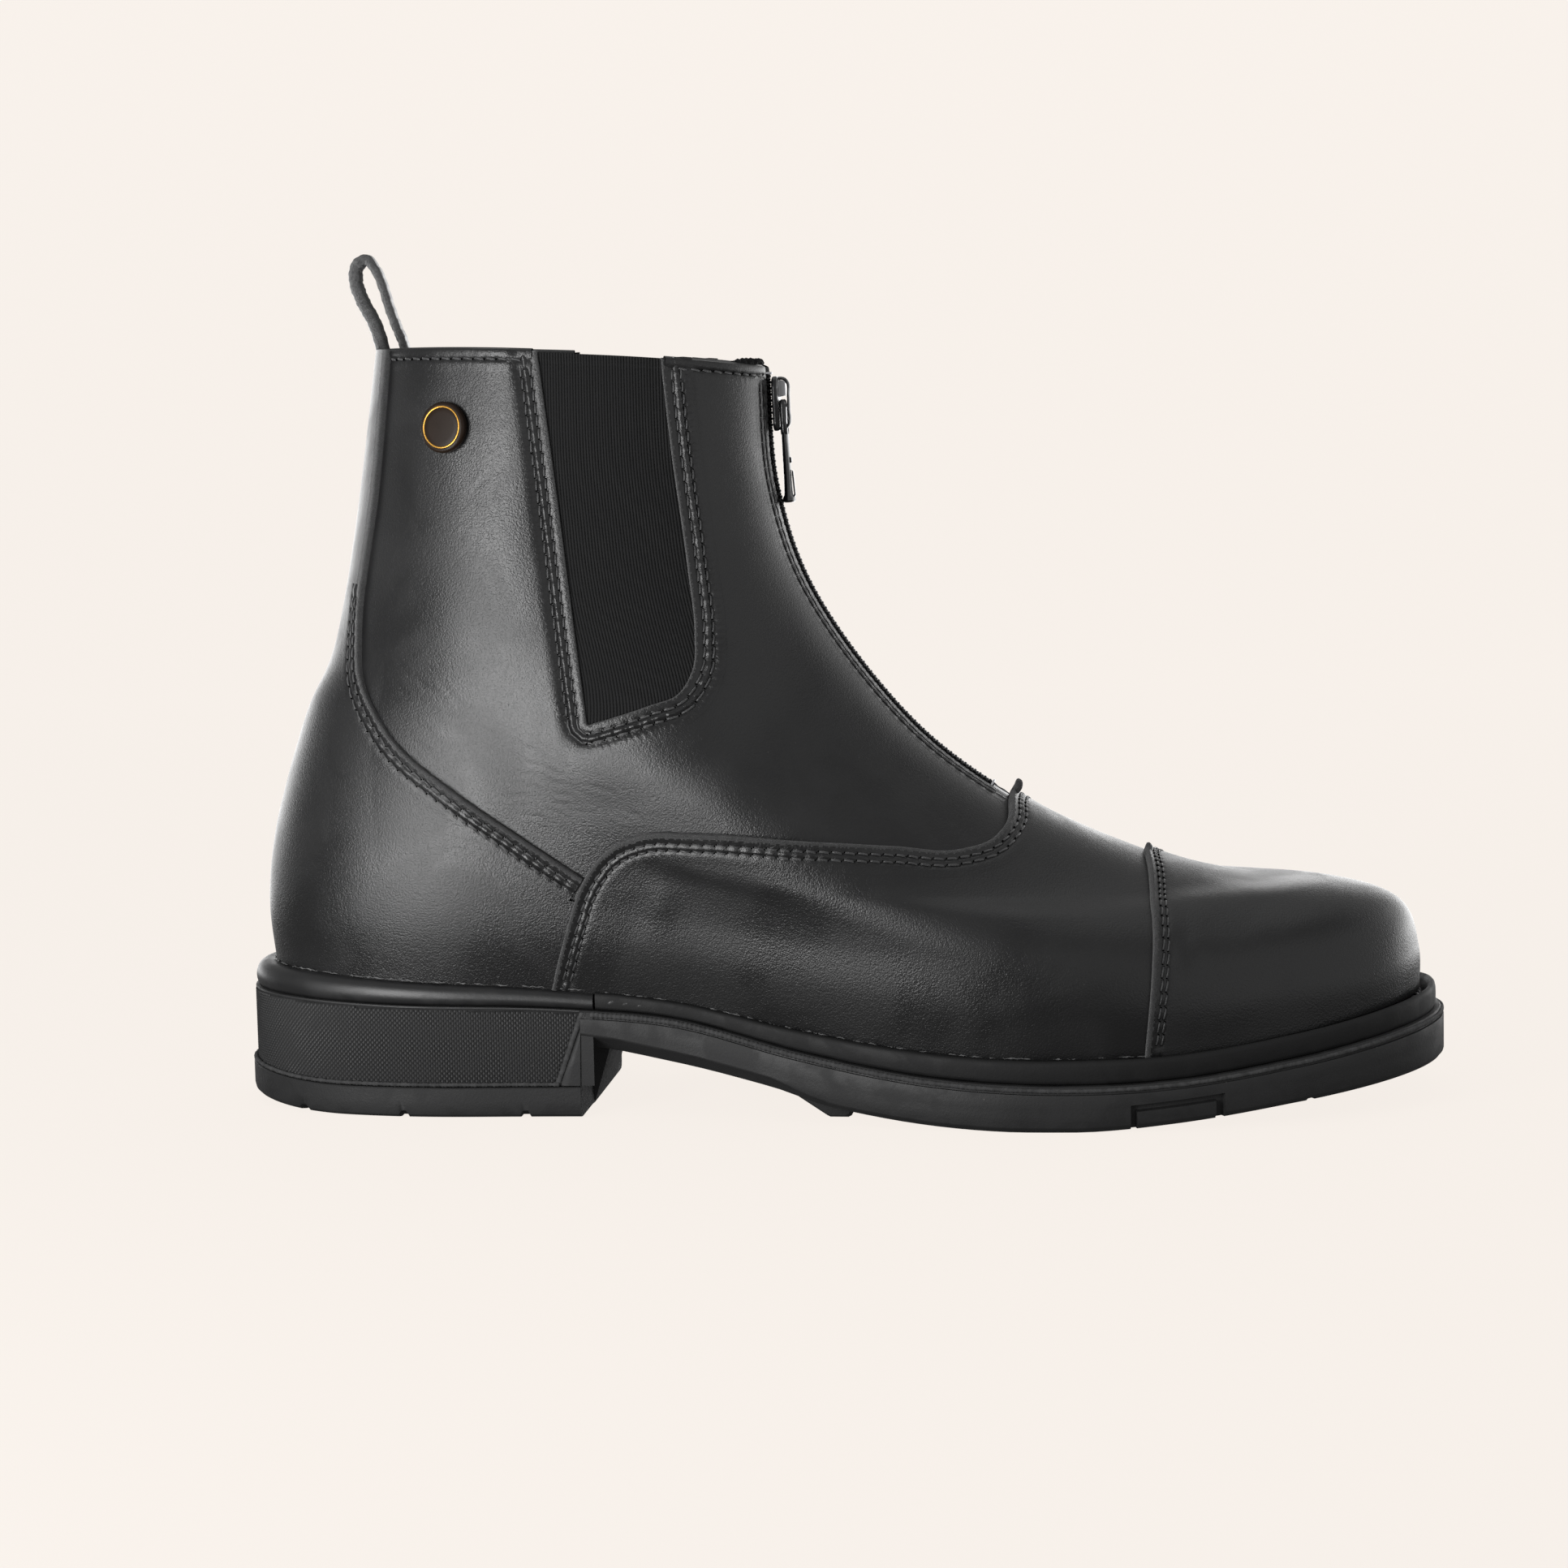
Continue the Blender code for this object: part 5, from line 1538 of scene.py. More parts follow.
@dataclass
class Gores:
    """Ribbed elastic in both sides of the shaft."""

    upper: Upper
    pitch: float = 0.68
    rib: float = 0.34
    rib_power: float = 0.7
    sunk: float = 0.95
    back: float = 1.9
    lean: float = 0.03
    foot_z: float = 91.0
    head_z: float = 184.5
    head_gap: float = 0.0012
    head_slope: float = 0.4
    room: float = 4.6
    back_x: float = -73.0
    front_x: float = -22.0
    hem: float = 0.22
    hem_share: Span = (0.982, 0.986)
    head_bow: float = 2.4

    def build(self) -> None:
        """Build the elastic of both sides."""
        for side in Side:
            draft = MeshDraft()
            fine = np.arange(self.back_x, self.front_x, self.pitch / 6)
            coarse = np.linspace(self.back_x, self.front_x, 22)
            hem_rows = [0.979, 0.982, 0.985, 0.988, 0.991, 0.994, 0.997, 1.0]
            share = np.concatenate([np.linspace(0, 0.975, 34), hem_rows])
            places = np.zeros((len(share), len(fine), 2))
            for i, part in enumerate(share):
                z = self.foot_z + (self.head_z - self.foot_z) * part
                spots = [Spot(x + self.lean * (self.head_z - z), z + self.head_bow * part) for x in coarse]
                found = self.upper.last.locate(spots, side)
                for k in range(2):
                    places[i, :, k] = smooth_through(coarse, found[:, k], fine)
            top = COLLAR_LEVEL - self.head_gap
            places[..., 0] = np.minimum(places[..., 0], top - self.head_slope * (1 - share)[:, None])
            places[-1, :, 0] = top
            level, turn = split(places)
            middle = (level[:-1, :-1] + level[1:, 1:]) / 2, (turn[:-1, :-1] + turn[1:, 1:]) / 2
            keep = self.upper.gore_distance(*middle) < self.room
            ribs = self.rib * np.abs(np.sin(np.pi * fine / self.pitch)) ** self.rib_power
            hem = self.hem * ease(share, *self.hem_share)
            rise = ribs[None] - self.sunk + hem[:, None]
            face = draft.grid(self.upper.last.offset(level, turn, rise), 0, keep)
            rear = draft.points(self.upper.last.offset(level, turn, -self.back))
            draft.weave(rear, 0, keep)
            draft.weave(np.stack([face[-1], rear[-1]]), 0, keep[-1:])
            name = side.name.lower()
            draft.piece("elastic_" + name, [ELASTIC], "elastic", ["gore_" + name], sharp=70.0)


@dataclass
class Zip:
    """The zip: tape, teeth, stops, slider and pull tab."""

    last: Last
    foot: float = 0.622
    head: float = 0.998
    slider_level: float = 0.968
    tooth_pitch: float = 1.5
    tooth_offset: float = 0.75
    tooth_reach: float = 1.1
    tooth_half: float = 0.5
    stop_half: float = 2.1
    stop_radius: float = 0.32
    tape_half: float = 7.5
    tape_rise: float = -1.25
    tape_dish: float = 0.25
    tape_thick: float = 0.5
    plate_base: float = 1.3
    plate: float = 1.5
    bridge_gap: float = 1.7
    bridge_bar: float = 1.0
    bridge_half: float = 0.42
    bridge_width: float = 2.4
    bridge_length: float = 12.6
    pull_length: float = 24.2
    foot_clearance: float = 2.4
    eye_radius: float = 0.45
    eye_half: float = 2.1

    def build(self) -> None:
        """Build the zip from its tape out to the pull tab."""
        levels = np.linspace(self.foot, self.head, 20)
        self.line = SeamLine(self.last, np.stack([levels, np.zeros_like(levels)], axis=-1), 1.0)
        self._tape()
        self._teeth()
        self._slider()
        self._pull()

    def _tape(self) -> None:
        """Woven tape under both quarters' edges."""
        draft = MeshDraft()
        s = np.linspace(0, self.line.length, 120)
        across = np.linspace(-self.tape_half, self.tape_half, 25)
        places = self.line.beside(s, across)
        dish = self.tape_dish * np.cos(np.pi * across / self.tape_half)
        rise = self.tape_rise - dish[None] * np.ones((len(s), 1))
        front = draft.grid(self.last.offset(*split(places), rise), 0)
        rear = draft.grid(self.last.offset(*split(places), rise - self.tape_thick), 0)
        draft.weave(np.stack([front[-1], rear[-1]]), 0)
        for side in Side:
            self._tape_end(draft, side)
        draft.piece("zip_tape", [TAPE], "zip_tape", ["zip"])

    def _tape_end(self, draft: MeshDraft, side: Side) -> None:
        """The tape's end, folded over and frayed on the collar beside the zip.

        Args:
            draft: the piece it belongs to.
            side: the side of the foot.
        """
        turns = np.linspace(0.13, 0.50, 40)
        level = np.full(len(turns), COLLAR_LEVEL)
        along = np.linspace(0, 1, len(turns))
        fray = 0.18 * np.sin(41.0 * along) + 0.14 * np.sin(97.0 * along + 1.0)
        thick = (0.95 + fray) * np.sqrt(np.clip(np.sin(np.pi * np.clip(along, 0.03, 0.97)), 0.05, 1))
        centres = self.last.offset(level, side.value * turns, np.full(len(turns), -1.5))
        centres[:, 2] += 0.9 - 0.5 * along + 0.5 * fray
        outward = self.last.normal(level, side.value * turns)
        deep = outward * 1.25 * thick[:, None]
        tall = UPWARD * 1.15 * thick[:, None]
        draft.tubes(centres[None], deep[None], tall[None])

    def _teeth(self) -> None:
        """Two rows of interlocked teeth and the stops at their ends."""
        draft = MeshDraft()
        for shift, sign in ((0.0, -1.0), (0.5, 1.0)):
            s = np.arange(2.0, self.line.length - 1.0, self.tooth_pitch) + shift * self.tooth_pitch
            span = np.linspace(-1.0, 1.0, 5)
            places = self.line.beside(s, sign * (self.tooth_offset + self.tooth_reach * span))
            lift = np.array([0.55, 0.86, 1.0, 0.86, 0.4])
            centres = self.last.offset(*split(places), 0.5 * lift - 0.05)
            up = self.last.normal(*split(places))
            across = unit(np.gradient(centres, axis=1))
            along = unit(np.cross(up, across))
            size = np.array([0.5, 0.9, 1.0, 0.95, 0.6])[None, :, None]
            draft.tubes(centres, along * self.tooth_half * size, up * self.tooth_half * size)
        draft.piece("zip_teeth", [TOOTH], "zip_tape", sharp=80.0)
        wire = MeshDraft()
        for s in (1.2, self.line.length - 1.6):
            places = self.line.beside(np.array([s]), np.linspace(-self.stop_half, self.stop_half, 9))
            lift = np.array([-0.6, 0.5, 0.95, 1.08, 1.12, 1.08, 0.95, 0.5, -0.6])
            centres = self.last.offset(*split(places), lift)
            up = self.last.normal(*split(places))
            across = np.gradient(centres, axis=1)
            along = unit(np.cross(up, across))
            wire.tubes(centres, along * self.stop_radius, unit(np.cross(across, along)) * self.stop_radius)
        wire.piece("zip_stops", [NICKEL], "black_metal", sharp=80.0)

    def frame(self) -> tuple[Array, Array, Array]:
        """Middle of the slider on the front line, with its outward and upward directions.

        Returns:
            The middle and the two directions.
        """
        level = np.array(self.slider_level)
        point = self.last.face(level, 0.0)
        up = unit(self.last.face(level + 1e-3, 0.0) - self.last.face(level - 1e-3, 0.0))
        return point, np.array([up[2], 0.0, -up[0]]), up

    def _slider(self) -> None:
        """Slider body with rounded flanges, and the bridge that holds the tab."""
        point, out, up = self.frame()
        side = ACROSS
        draft = MeshDraft()
        outline = np.array([
            (-6.7, 2.3), (-6.2, 3.1), (-4.4, 3.5), (0.0, 4.1), (3.6, 4.55), (5.6, 4.3), (6.5, 3.5),
            (6.7, 2.4),
        ])
        ring = np.concatenate([outline, outline[::-1] * [1.0, -1.0]])
        plate = self.plate
        steps = (
            (0.0, 0.35), (0.18, 0.08), (0.5, 0.0), (plate - 0.45, 0.0), (plate - 0.12, 0.12), (plate, 0.5),
        )
        sections = []
        for rise, shrink in steps:
            scale = 1 - shrink / 4.0
            lifted = (self.plate_base + rise) * out
            sections.append([point + a * scale * up + b * scale * side + lifted for a, b in ring])
        draft.sweep(sections)
        top = self.plate_base + self.plate
        reach = self.bridge_length / 2
        high = top + self.bridge_gap + self.bridge_bar / 2
        path = np.array([
            (-reach + 0.2, top - 0.6), (-reach + 0.1, top + 0.5), (-reach + 0.35, high - 0.8),
            (-reach + 1.2, high - 0.1), (-1.8, high + 0.05), (1.8, high + 0.05), (reach - 1.2, high - 0.1),
            (reach - 0.35, high - 0.8), (reach - 0.1, top + 0.5), (reach - 0.2, top - 0.6),
        ])
        stops = run_length(path)
        curve = smooth_through(stops, path, np.linspace(0, stops[-1], 49))
        centres = (point + curve[:, :1] * up + curve[:, 1:] * out)[None]
        along = unit(np.gradient(centres, axis=1))
        wide = np.broadcast_to(side, centres.shape)
        draft.tubes(centres, wide * self.bridge_width / 2, unit(np.cross(along, wide)) * self.bridge_half)
        tail = np.array([
            (-reach - 1.7, high - 0.5), (-reach - 1.7, high - 1.0), (-reach + 0.4, high - 1.1),
            (-reach + 0.4, high - 0.45),
        ])
        draft.sweep([[point + a * up + r * out + y * side for a, r in tail] for y in (-0.7, 0.7)])
        draft.piece("slider_body", [ENAMEL], "black_metal", ["zip_slider"], sharp=50.0)
        latch = MeshDraft()
        shapes = []
        for low, tall, deep, half in ((1.6, 4.2, 1.66, 0.75), (-5.6, 4.2, 0.5, 1.0), (-1.2, 1.9, 0.35, 0.7)):
            block = [(low, 0.1), (low + tall, 0.1), (low + tall - 0.3, deep), (low + 0.3, deep)]
            shapes.append((np.array(block), half))
        spring = np.array([(-5.4, 1.0), (-5.2, 1.6), (-0.9, 1.62), (-0.9, 1.25), (-4.6, 1.15)])
        shapes.append((spring, 0.6))
        for shape, half in shapes:
            latch.sweep(
                [[point + a * up + (top + r) * out + y * side for a, r in shape] for y in (-half, half)],
            )
        latch.piece("slider_latch", [NICKEL], "black_metal")

    def _pull(self) -> None:
        """Pull tab: eye on the bridge, slim shank and a flared foot."""
        point, out, _ = self.frame()
        side = ACROSS
        pivot = point + (self.plate_base + self.plate + self.bridge_gap / 2) * out
        levels = np.linspace(self.foot, self.slider_level, 90)
        middle = np.zeros_like(levels)
        front = self.last.face(levels, middle)
        front_up = unit(self.last.face(levels + 1e-3, middle) - self.last.face(levels - 1e-3, middle))
        front_out = np.stack([front_up[:, 2], middle, -front_up[:, 0]], axis=-1)
        target = front + self.foot_clearance * front_out
        nearest = np.argmin(np.abs(np.linalg.norm(target - pivot, axis=1) - self.pull_length))
        down = unit((target[nearest] - pivot) * [1.0, 0.0, 1.0])
        face = np.array([-down[2], 0.0, down[0]])
        draft = MeshDraft()

        def bar(stops: Sequence[tuple[float, float, float, float]]) -> None:
            """Add a rounded bar through (along, middle across, half width, half thickness).

            Args:
                stops: the rows.
            """
            rows = np.array(stops)
            centres = pivot + rows[:, :1] * down + rows[:, 1:2] * side
            draft.tubes(centres[None], (rows[:, 2:3] * side)[None], (rows[:, 3:] * face)[None])

        for sign in (-1.0, 1.0):
            bar([
                (-1.0, sign * 2.05, 0.25, 0.3), (-0.6, sign * 2.1, 0.5, 0.66), (0.4, sign * 2.1, 0.5, 0.8),
                (3.0, sign * 2.1, 0.5, 0.76), (6.9, sign * 2.1, 0.5, 0.8), (7.6, sign * 1.5, 0.5, 0.8),
            ])
        centres = (pivot + np.linspace(-self.eye_half, self.eye_half, 7)[:, None] * side)[None]
        deep, tall = (np.broadcast_to(way * self.eye_radius, centres.shape) for way in (down, face))
        draft.tubes(centres, deep, tall)
        bar([
            (6.2, 0.0, 2.0, 0.7), (6.6, 0.0, 2.45, 0.82), (8.6, 0.0, 2.35, 0.92), (14.0, 0.0, 2.05, 0.98),
            (18.4, 0.0, 2.05, 1.0), (21.0, 0.0, 2.4, 1.05), (22.6, 0.0, 2.9, 1.15), (23.2, 0.0, 3.1, 1.5),
            (23.8, 0.0, 3.15, 1.7), (24.2, 0.0, 3.0, 1.6), (24.4, 0.0, 2.6, 1.1),
        ])
        rail = np.array([
            (16.4, 1.15), (16.9, 1.5), (22.6, 1.75), (23.4, 1.3), (23.4, 0.9), (22.4, 1.35), (17.4, 1.1),
        ])
        stub = np.array([(13.2, 0.7), (13.4, 1.25), (14.6, 1.3), (14.8, 0.7)])
        for outline, half in ((rail, 0.5), (stub, 0.6)):
            draft.sweep([[pivot + a * down + r * face + y * side for a, r in outline] for y in (-half, half)])
        draft.piece("pull_tab", [ENAMEL], "black_metal", ["zip_pull"], body="zip_pull", sharp=50.0)


@dataclass
class Badge:
    """Plain domed badge with a gilt ring."""

    last: Last
    level: float = 0.944
    turn: float = 2.116
    radius: float = 6.2
    ring_radius: float = 4.95
    ring_wide: float = 0.24
    ring_tall: float = 0.14
    ring_rise: float = 2.4

    def build(self) -> None:
        """Turn the badge and its ring on the upper's face."""
        centre = self.last.face(self.level, self.turn)
        axis = self.last.normal(self.level, self.turn)
        right = unit(np.cross(UPWARD, axis))
        above = np.cross(axis, right)
        angle = np.linspace(0, 2 * np.pi, 64, endpoint=False)
        circle = np.cos(angle)[:, None] * right + np.sin(angle)[:, None] * above

        def turned(profile: Sequence[Span]) -> Array:
            """Rings of a turned profile of (radius, rise)."""
            return np.stack([centre + r * circle + rise * axis for r, rise in profile])

        body = MeshDraft()
        r, g = self.radius, self.ring_radius
        body.sweep(turned([
            (r - 0.8, 0.05), (r - 0.25, 0.25), (r, 0.7), (r, 1.55), (r - 0.15, 2.0), (r - 0.45, 2.3),
            (r - 0.8, 2.42), (g + 0.2, 2.4), (g + 0.08, 2.33), (g - 0.08, 2.33), (g - 0.2, 2.4),
            (0.7 * g, 2.47), (0.4 * g, 2.53), (0.05, 2.55),
        ]))
        body.piece("badge_body", [BRONZE], "bronze", ["badge_stud"], sharp=60.0)
        ring = MeshDraft()
        tube = np.linspace(0, 2 * np.pi, 10, endpoint=False)
        wide, tall = self.ring_wide * np.cos(tube), self.ring_tall * np.sin(tube)
        ring.sweep(turned(list(zip(g + wide, self.ring_rise + tall))), closed=True)
        ring.piece("badge_ring", [GOLD], "bronze", sharp=80.0)


@dataclass
class PullLoop:
    """Folded strap at the back of the collar."""

    width: float = 10.0
    yaw: float = -0.14
    edge_power: float = 5.0
    face_power: float = 3.0
    path: tuple[Spot, ...] = (
        Spot(-110.4, 180.0), Spot(-110.7, 186.4), Spot(-112.8, 194.4), Spot(-115.8, 200.4),
        Spot(-117.2, 205.2), Spot(-116.6, 208.8), Spot(-114.4, 210.2), Spot(-112.0, 207.6),
        Spot(-110.2, 203.2), Spot(-108.9, 198.5), Spot(-107.2, 193.5), Spot(-105.5, 189.0),
        Spot(-104.8, 184.0), Spot(-105.4, 176.0),
    )

    def build(self) -> None:
        """Bend the strap along its path, with a soft uneven cut edge."""
        route = np.array(self.path)
        stops = run_length(route)
        s = np.linspace(0, stops[-1], 150)
        line = smooth_through(stops, route, s)
        along = smooth_through(stops, route, s + 0.3) - smooth_through(stops, route, s - 0.3)
        along = unit(along)
        out = np.stack([-along[:, 1], along[:, 0]], axis=-1)
        half = 1.62 - 0.42 * ease(s, 26.0, 38.0)
        ragged = 0.10 * np.sin(1.9 * s) + 0.08 * np.sin(4.3 * s + 1.0) + 0.05 * np.sin(9.1 * s)
        angle = np.linspace(0, 2 * np.pi, 40, endpoint=False)
        wide = np.sign(np.cos(angle)) * np.abs(np.cos(angle)) ** (2 / self.edge_power)
        thick = np.sign(np.sin(angle)) * np.abs(np.sin(angle)) ** (2 / self.face_power)
        y = (self.width / 2 + ragged[:, None]) * wide[None]
        rise = (half + 0.6 * ragged)[:, None] * thick[None]
        x = line[:, :1] + out[:, :1] * rise + self.yaw * y
        z = line[:, 1:] + out[:, 1:] * rise
        draft = MeshDraft()
        numbers = draft.points(np.stack([x, y, z], axis=-1))
        inner = np.sin(angle + np.pi / 40) > 0.75
        inner = np.broadcast_to(inner, (len(s) - 1, len(angle)))
        draft.weave(numbers, 0, ~inner, ring=True)
        draft.weave(numbers, 1, inner, ring=True)
        draft.faces(numbers[:1], 0)
        draft.faces(numbers[-1:], 0)
        draft.piece("pull_strap", [SUEDE, CALF], "suede", ["pull_loop"], sharp=70.0)


class Notch(NamedTuple):
    """A cut across the tread: its place, mouth and depth."""

    x: float
    width: float
    depth: float


NOTCHES = (
    Notch(-131.6, 2.6, 1.6), Notch(-104.8, 2.6, 1.8), Notch(-74.3, 2.6, 1.8), Notch(116.0, 2.0, 0.5),
)


@dataclass
class Sole:
    """Outsole with its heel, welt, heel rand, beads and insole."""

    last: Last
    breast_x: float = -60.4
    joint_x: float = -57.0
    lift: float = 7.6
    kick: float = 2.5
    kick_x: float = -120.0
    panel_sink: float = 1.0
    panel_set: float = 0.35
    panel_bottom: float = 8.3
    panel_front_top: float = -59.8
    panel_front_foot: float = -66.2
    panel_end: float = -57.6
    block: Span = (74.7, 93.6)
    window: Span = (73.4, 95.5)
    block_high: float = 4.4
    block_gap: float = 1.2
    block_deep: float = 1.6
    weave_run: float = 0.62
    weave_long: float = 1.24
    weave_rise: float = 0.30
    strip_half: float = 0.75
    rebate: float = 3.5
    welt_setback: float = 2.0
    rand_setback: float = 1.8
    rope_pitch: float = 3.6
    rope_radius: float = 0.62
    knurl_pitch: float = 1.1
    insole_thick: float = 3.0

    def build(self) -> None:
        """Build the sole from the floor up."""
        self._outline()
        self._outsole()
        self._heel_weave()
        self._bead()
        self._welt()
        self._rand()
        self._cement()
        self._insole()

    def _reach(self, turn: Array) -> Array:
        """How far the outsole stands out from the feather line at turns."""
        return self.last.sole("reach", self.last.face(0.0, turn)[..., 0])

    def plan(self, turn: Array, reach: Array) -> Array:
        """Feather-line points moved out in plan, as rows of x and y.

        Args:
            turn: angle round the boot.
            reach: distance out from the feather line.

        Returns:
            The rows.
        """
        along = self.last.face(0.0, turn + 1e-3) - self.last.face(0.0, turn - 1e-3)
        outward = unit(np.stack([-along[..., 1], along[..., 0]], axis=-1))
        return self.last.face(0.0, turn)[..., :2] + outward * np.asarray(reach)[..., None]

    def _outline(self) -> None:
        """Stations along the sole and the turns at which its edge passes them."""
        turn = np.linspace(-np.pi, 3 * np.pi, 4001)
        x = self.plan(turn, self._reach(turn))[:, 0]
        tip = int(np.argmax(np.where(np.abs(turn) < 0.5, x, -1e9)))
        back = int(np.argmin(np.where(np.abs(turn - np.pi) < 0.5, x, 1e9)))
        again = int(np.argmax(np.where(np.abs(turn - 2 * np.pi) < 0.5, x, -1e9)))
        toe, heel = x[tip], x[back]
        forward, rearward = (np.sin(np.linspace(0, np.pi / 2, count)) for count in (70, 44))
        front = self.breast_x + 0.15 + (toe - self.breast_x - 0.15) * forward
        rear = self.breast_x - 0.15 - (self.breast_x - 0.15 - heel) * rearward
        cuts = [notch.x + notch.width * part for notch in NOTCHES for part in (-0.5, -0.26, 0.0, 0.26, 0.5)]
        cuts += [low + part for low in (self.window[0], self.block[0]) for part in (0.0, 0.2)]
        cuts += [high - part for high in (self.window[1], self.block[1]) for part in (0.0, 0.2)]
        stations = np.unique(np.concatenate([front, rear, cuts]).round(3))[::-1]
        self.stations = stations
        outer = np.interp(-stations, -x[tip:back + 1], turn[tip:back + 1])
        inner = np.interp(stations[-2:0:-1], x[back:again + 1], turn[back:again + 1])
        self.turns = np.concatenate([outer, inner])
        self.x = np.concatenate([stations, stations[-2:0:-1]])
        self.reach = self._reach(self.turns)
        self.heel = self.x < self.breast_x

    def _notched(self, x: Array) -> Array:
        """Height that the notches lift the underside at places along the boot.

        Args:
            x: places along the boot.

        Returns:
            The lifts.
        """
        lift = np.zeros_like(x)
        for notch in NOTCHES:
            lift = np.maximum(lift, notch.depth * np.clip(2 - 4 * np.abs(x - notch.x) / notch.width, 0, 1))
        return lift

    def _under(self, x: Array) -> Array:
        """Height of the underside without its notches."""
        kick = self.kick * np.clip((self.kick_x - x) / (self.kick_x - self.x.min()), 0, 1) ** 2
        return np.where(x < self.breast_x, kick, np.maximum(self.last.sole("under", x), 0.0))

    def _outsole(self) -> None:
        """Outsole and heel in one moulding."""
        x, heel = self.x, self.heel
        ledge = self.last.sole("ledge", x)
        under = self._under(x)
        cut = self._notched(x)
        kick = np.where(heel, under, 0.0)
        waist = (1 - ease(x, -16.0, 2.0)) * ~heel
        cut_high = 0.9 + 2.8 * waist
        cut_deep = 0.9 + 5.2 * waist
        sunk = ease(self.panel_end - x, 0.0, 0.8)
        lift = self.lift + kick
        sink = self.panel_sink
        sunken = self.panel_set + sink * sunk
        heel_rows = (
            (2.6, under), (0.9, under + 0.25), (0.25, under + 0.9), (0.0, under + 2.0), (0.0, under + 4.2),
            (0.0, lift - 1.2), (0.0, lift - 0.3), (0.25, lift), (0.3 + sink * sunk, lift + 0.15),
            (sunken, lift + 0.6), (sunken, lift + 2.0), (sunken, (lift + ledge) / 2), (sunken, ledge - 2.0),
            (sunken, ledge - 1.0), (0.6 + 0.5 * sunk, ledge - 0.5), (1.2, ledge - 0.15), (1.9, ledge),
        )
        side_foot = under + cut_high
        side_top = ledge - 1.9
        block_top = np.maximum(side_foot + 0.85, under + self.block_high)
        fore_rows = (
            (cut_deep + 1.6, under), (cut_deep, under + 0.05),
            (0.55 * cut_deep + 0.2, under + 0.48 * cut_high), (0.32, side_foot - 0.12),
            (0.12, side_foot + 0.1), (0.0, side_foot + 0.5), (0.0, block_top - 0.25), (0.0, block_top),
            (0.0, block_top + self.block_gap), (0.0, block_top + self.block_gap + 0.2),
            (0.0, side_top - 0.4), (0.1, side_top - 0.1), (0.6, side_top), (0.7, ledge - 1.2),
            (0.7, ledge - 0.5), (1.0, ledge - 0.1), (1.9, ledge),
        )
        rows = [
            (np.where(heel, back, fore_back), np.where(heel, high, fore_high))
            for (back, high), (fore_back, fore_high) in zip(heel_rows, fore_rows)
        ]
        in_window, in_block = (
            np.clip(np.minimum(x - low, high - x) / 0.2, 0, 1) for low, high in (self.window, self.block))
        rings = []
        for number, (back, z) in enumerate(rows):
            lifted = np.maximum(z, under + cut) if number < 4 else z
            groove = in_window if number > 6 else in_window - in_block
            inset = self.block_deep * groove * (number < 9)
            rings.append(with_height(self.plan(self.turns, self.reach - back - inset), lifted))
        inside = self.plan(self.turns, np.full(len(x), -self.rebate))
        for column, drop in (("ledge", 0.0), ("seat", 0.3)):
            rings.append(with_height(inside, self.last.sole(column, inside[:, 0]) - drop))
        draft = MeshDraft()
        numbers = draft.points(np.stack(rings))
        draft.weave(numbers, ring=True)
        self._underside(draft, numbers[0], rings[0])
        self._strips(draft, numbers[-1])
        self._lug(draft)
        draft.piece("outsole_moulding", [RUBBER], "rubber", ["outsole"], sharp=32.0)

    def _strips(self, draft: MeshDraft, ring: Array) -> None:
        """Close a ring of point numbers across the boot with strips.

        Args:
            draft: the piece it belongs to.
            ring: the point numbers.
        """
        size = len(ring)
        for j in range(size // 2):
            pair = [ring[j], ring[j + 1], ring[(size - j - 1) % size], ring[(size - j) % size]]
            draft.faces(np.array([pair]))

    def _underside(self, draft: MeshDraft, ring: Array, edge: Array) -> None:
        """The tread, drawn across between the two lower edges.

        Args:
            draft: the piece it belongs to.
            ring: numbers of the lower edge's points.
            edge: the points.
        """
        size = len(ring)
        half = size // 2
        outer = np.arange(half + 1)
        inner = (size - outer) % size
        share = np.linspace(0, 1, 25)[None, :, None]
        places = (1 - share) * edge[outer][:, None] + share * edge[inner][:, None]
        x = places[..., 0]
        inward = np.clip(np.minimum(share[..., 0], 1 - share[..., 0]) * 12, 0, 1)
        places[..., 2] = self._under(x) + self._notched(x) * (1 - ease(inward, 0.0, 0.5))
        rib = 0.5 * np.abs(np.sin(np.pi * places[..., 1] / 7.0)) ** 4 * inward
        places[..., 2] += np.where((x > 34) & (x < 128) | (x < -68), rib, 0.0)
        numbers = draft.points(places[:, 1:-1])
        grid = np.concatenate([ring[outer][:, None], numbers, ring[inner][:, None]], axis=1)
        draft.weave(grid)

    def _lug(self, draft: MeshDraft) -> None:
        """The wedge lug behind the ball.

        Args:
            draft: the piece it belongs to.
        """
        outline = np.array([
            (-11.0, 8.0), (-0.2, 0.75), (0.6, 0.35), (5.0, 0.3), (5.8, 0.7), (7.2, 3.2), (7.4, 7.0),
            (-11.0, 11.0),
        ])
        sections = []
        for y, shrink in ((-35.0, 0.86), (-34.4, 1.0), (34.4, 1.0), (35.0, 0.86)):
            middle = outline.mean(axis=0)
            spots = middle + (outline - middle) * shrink
            sections.append([(spot[0], y, spot[1]) for spot in spots])
        draft.sweep(sections)

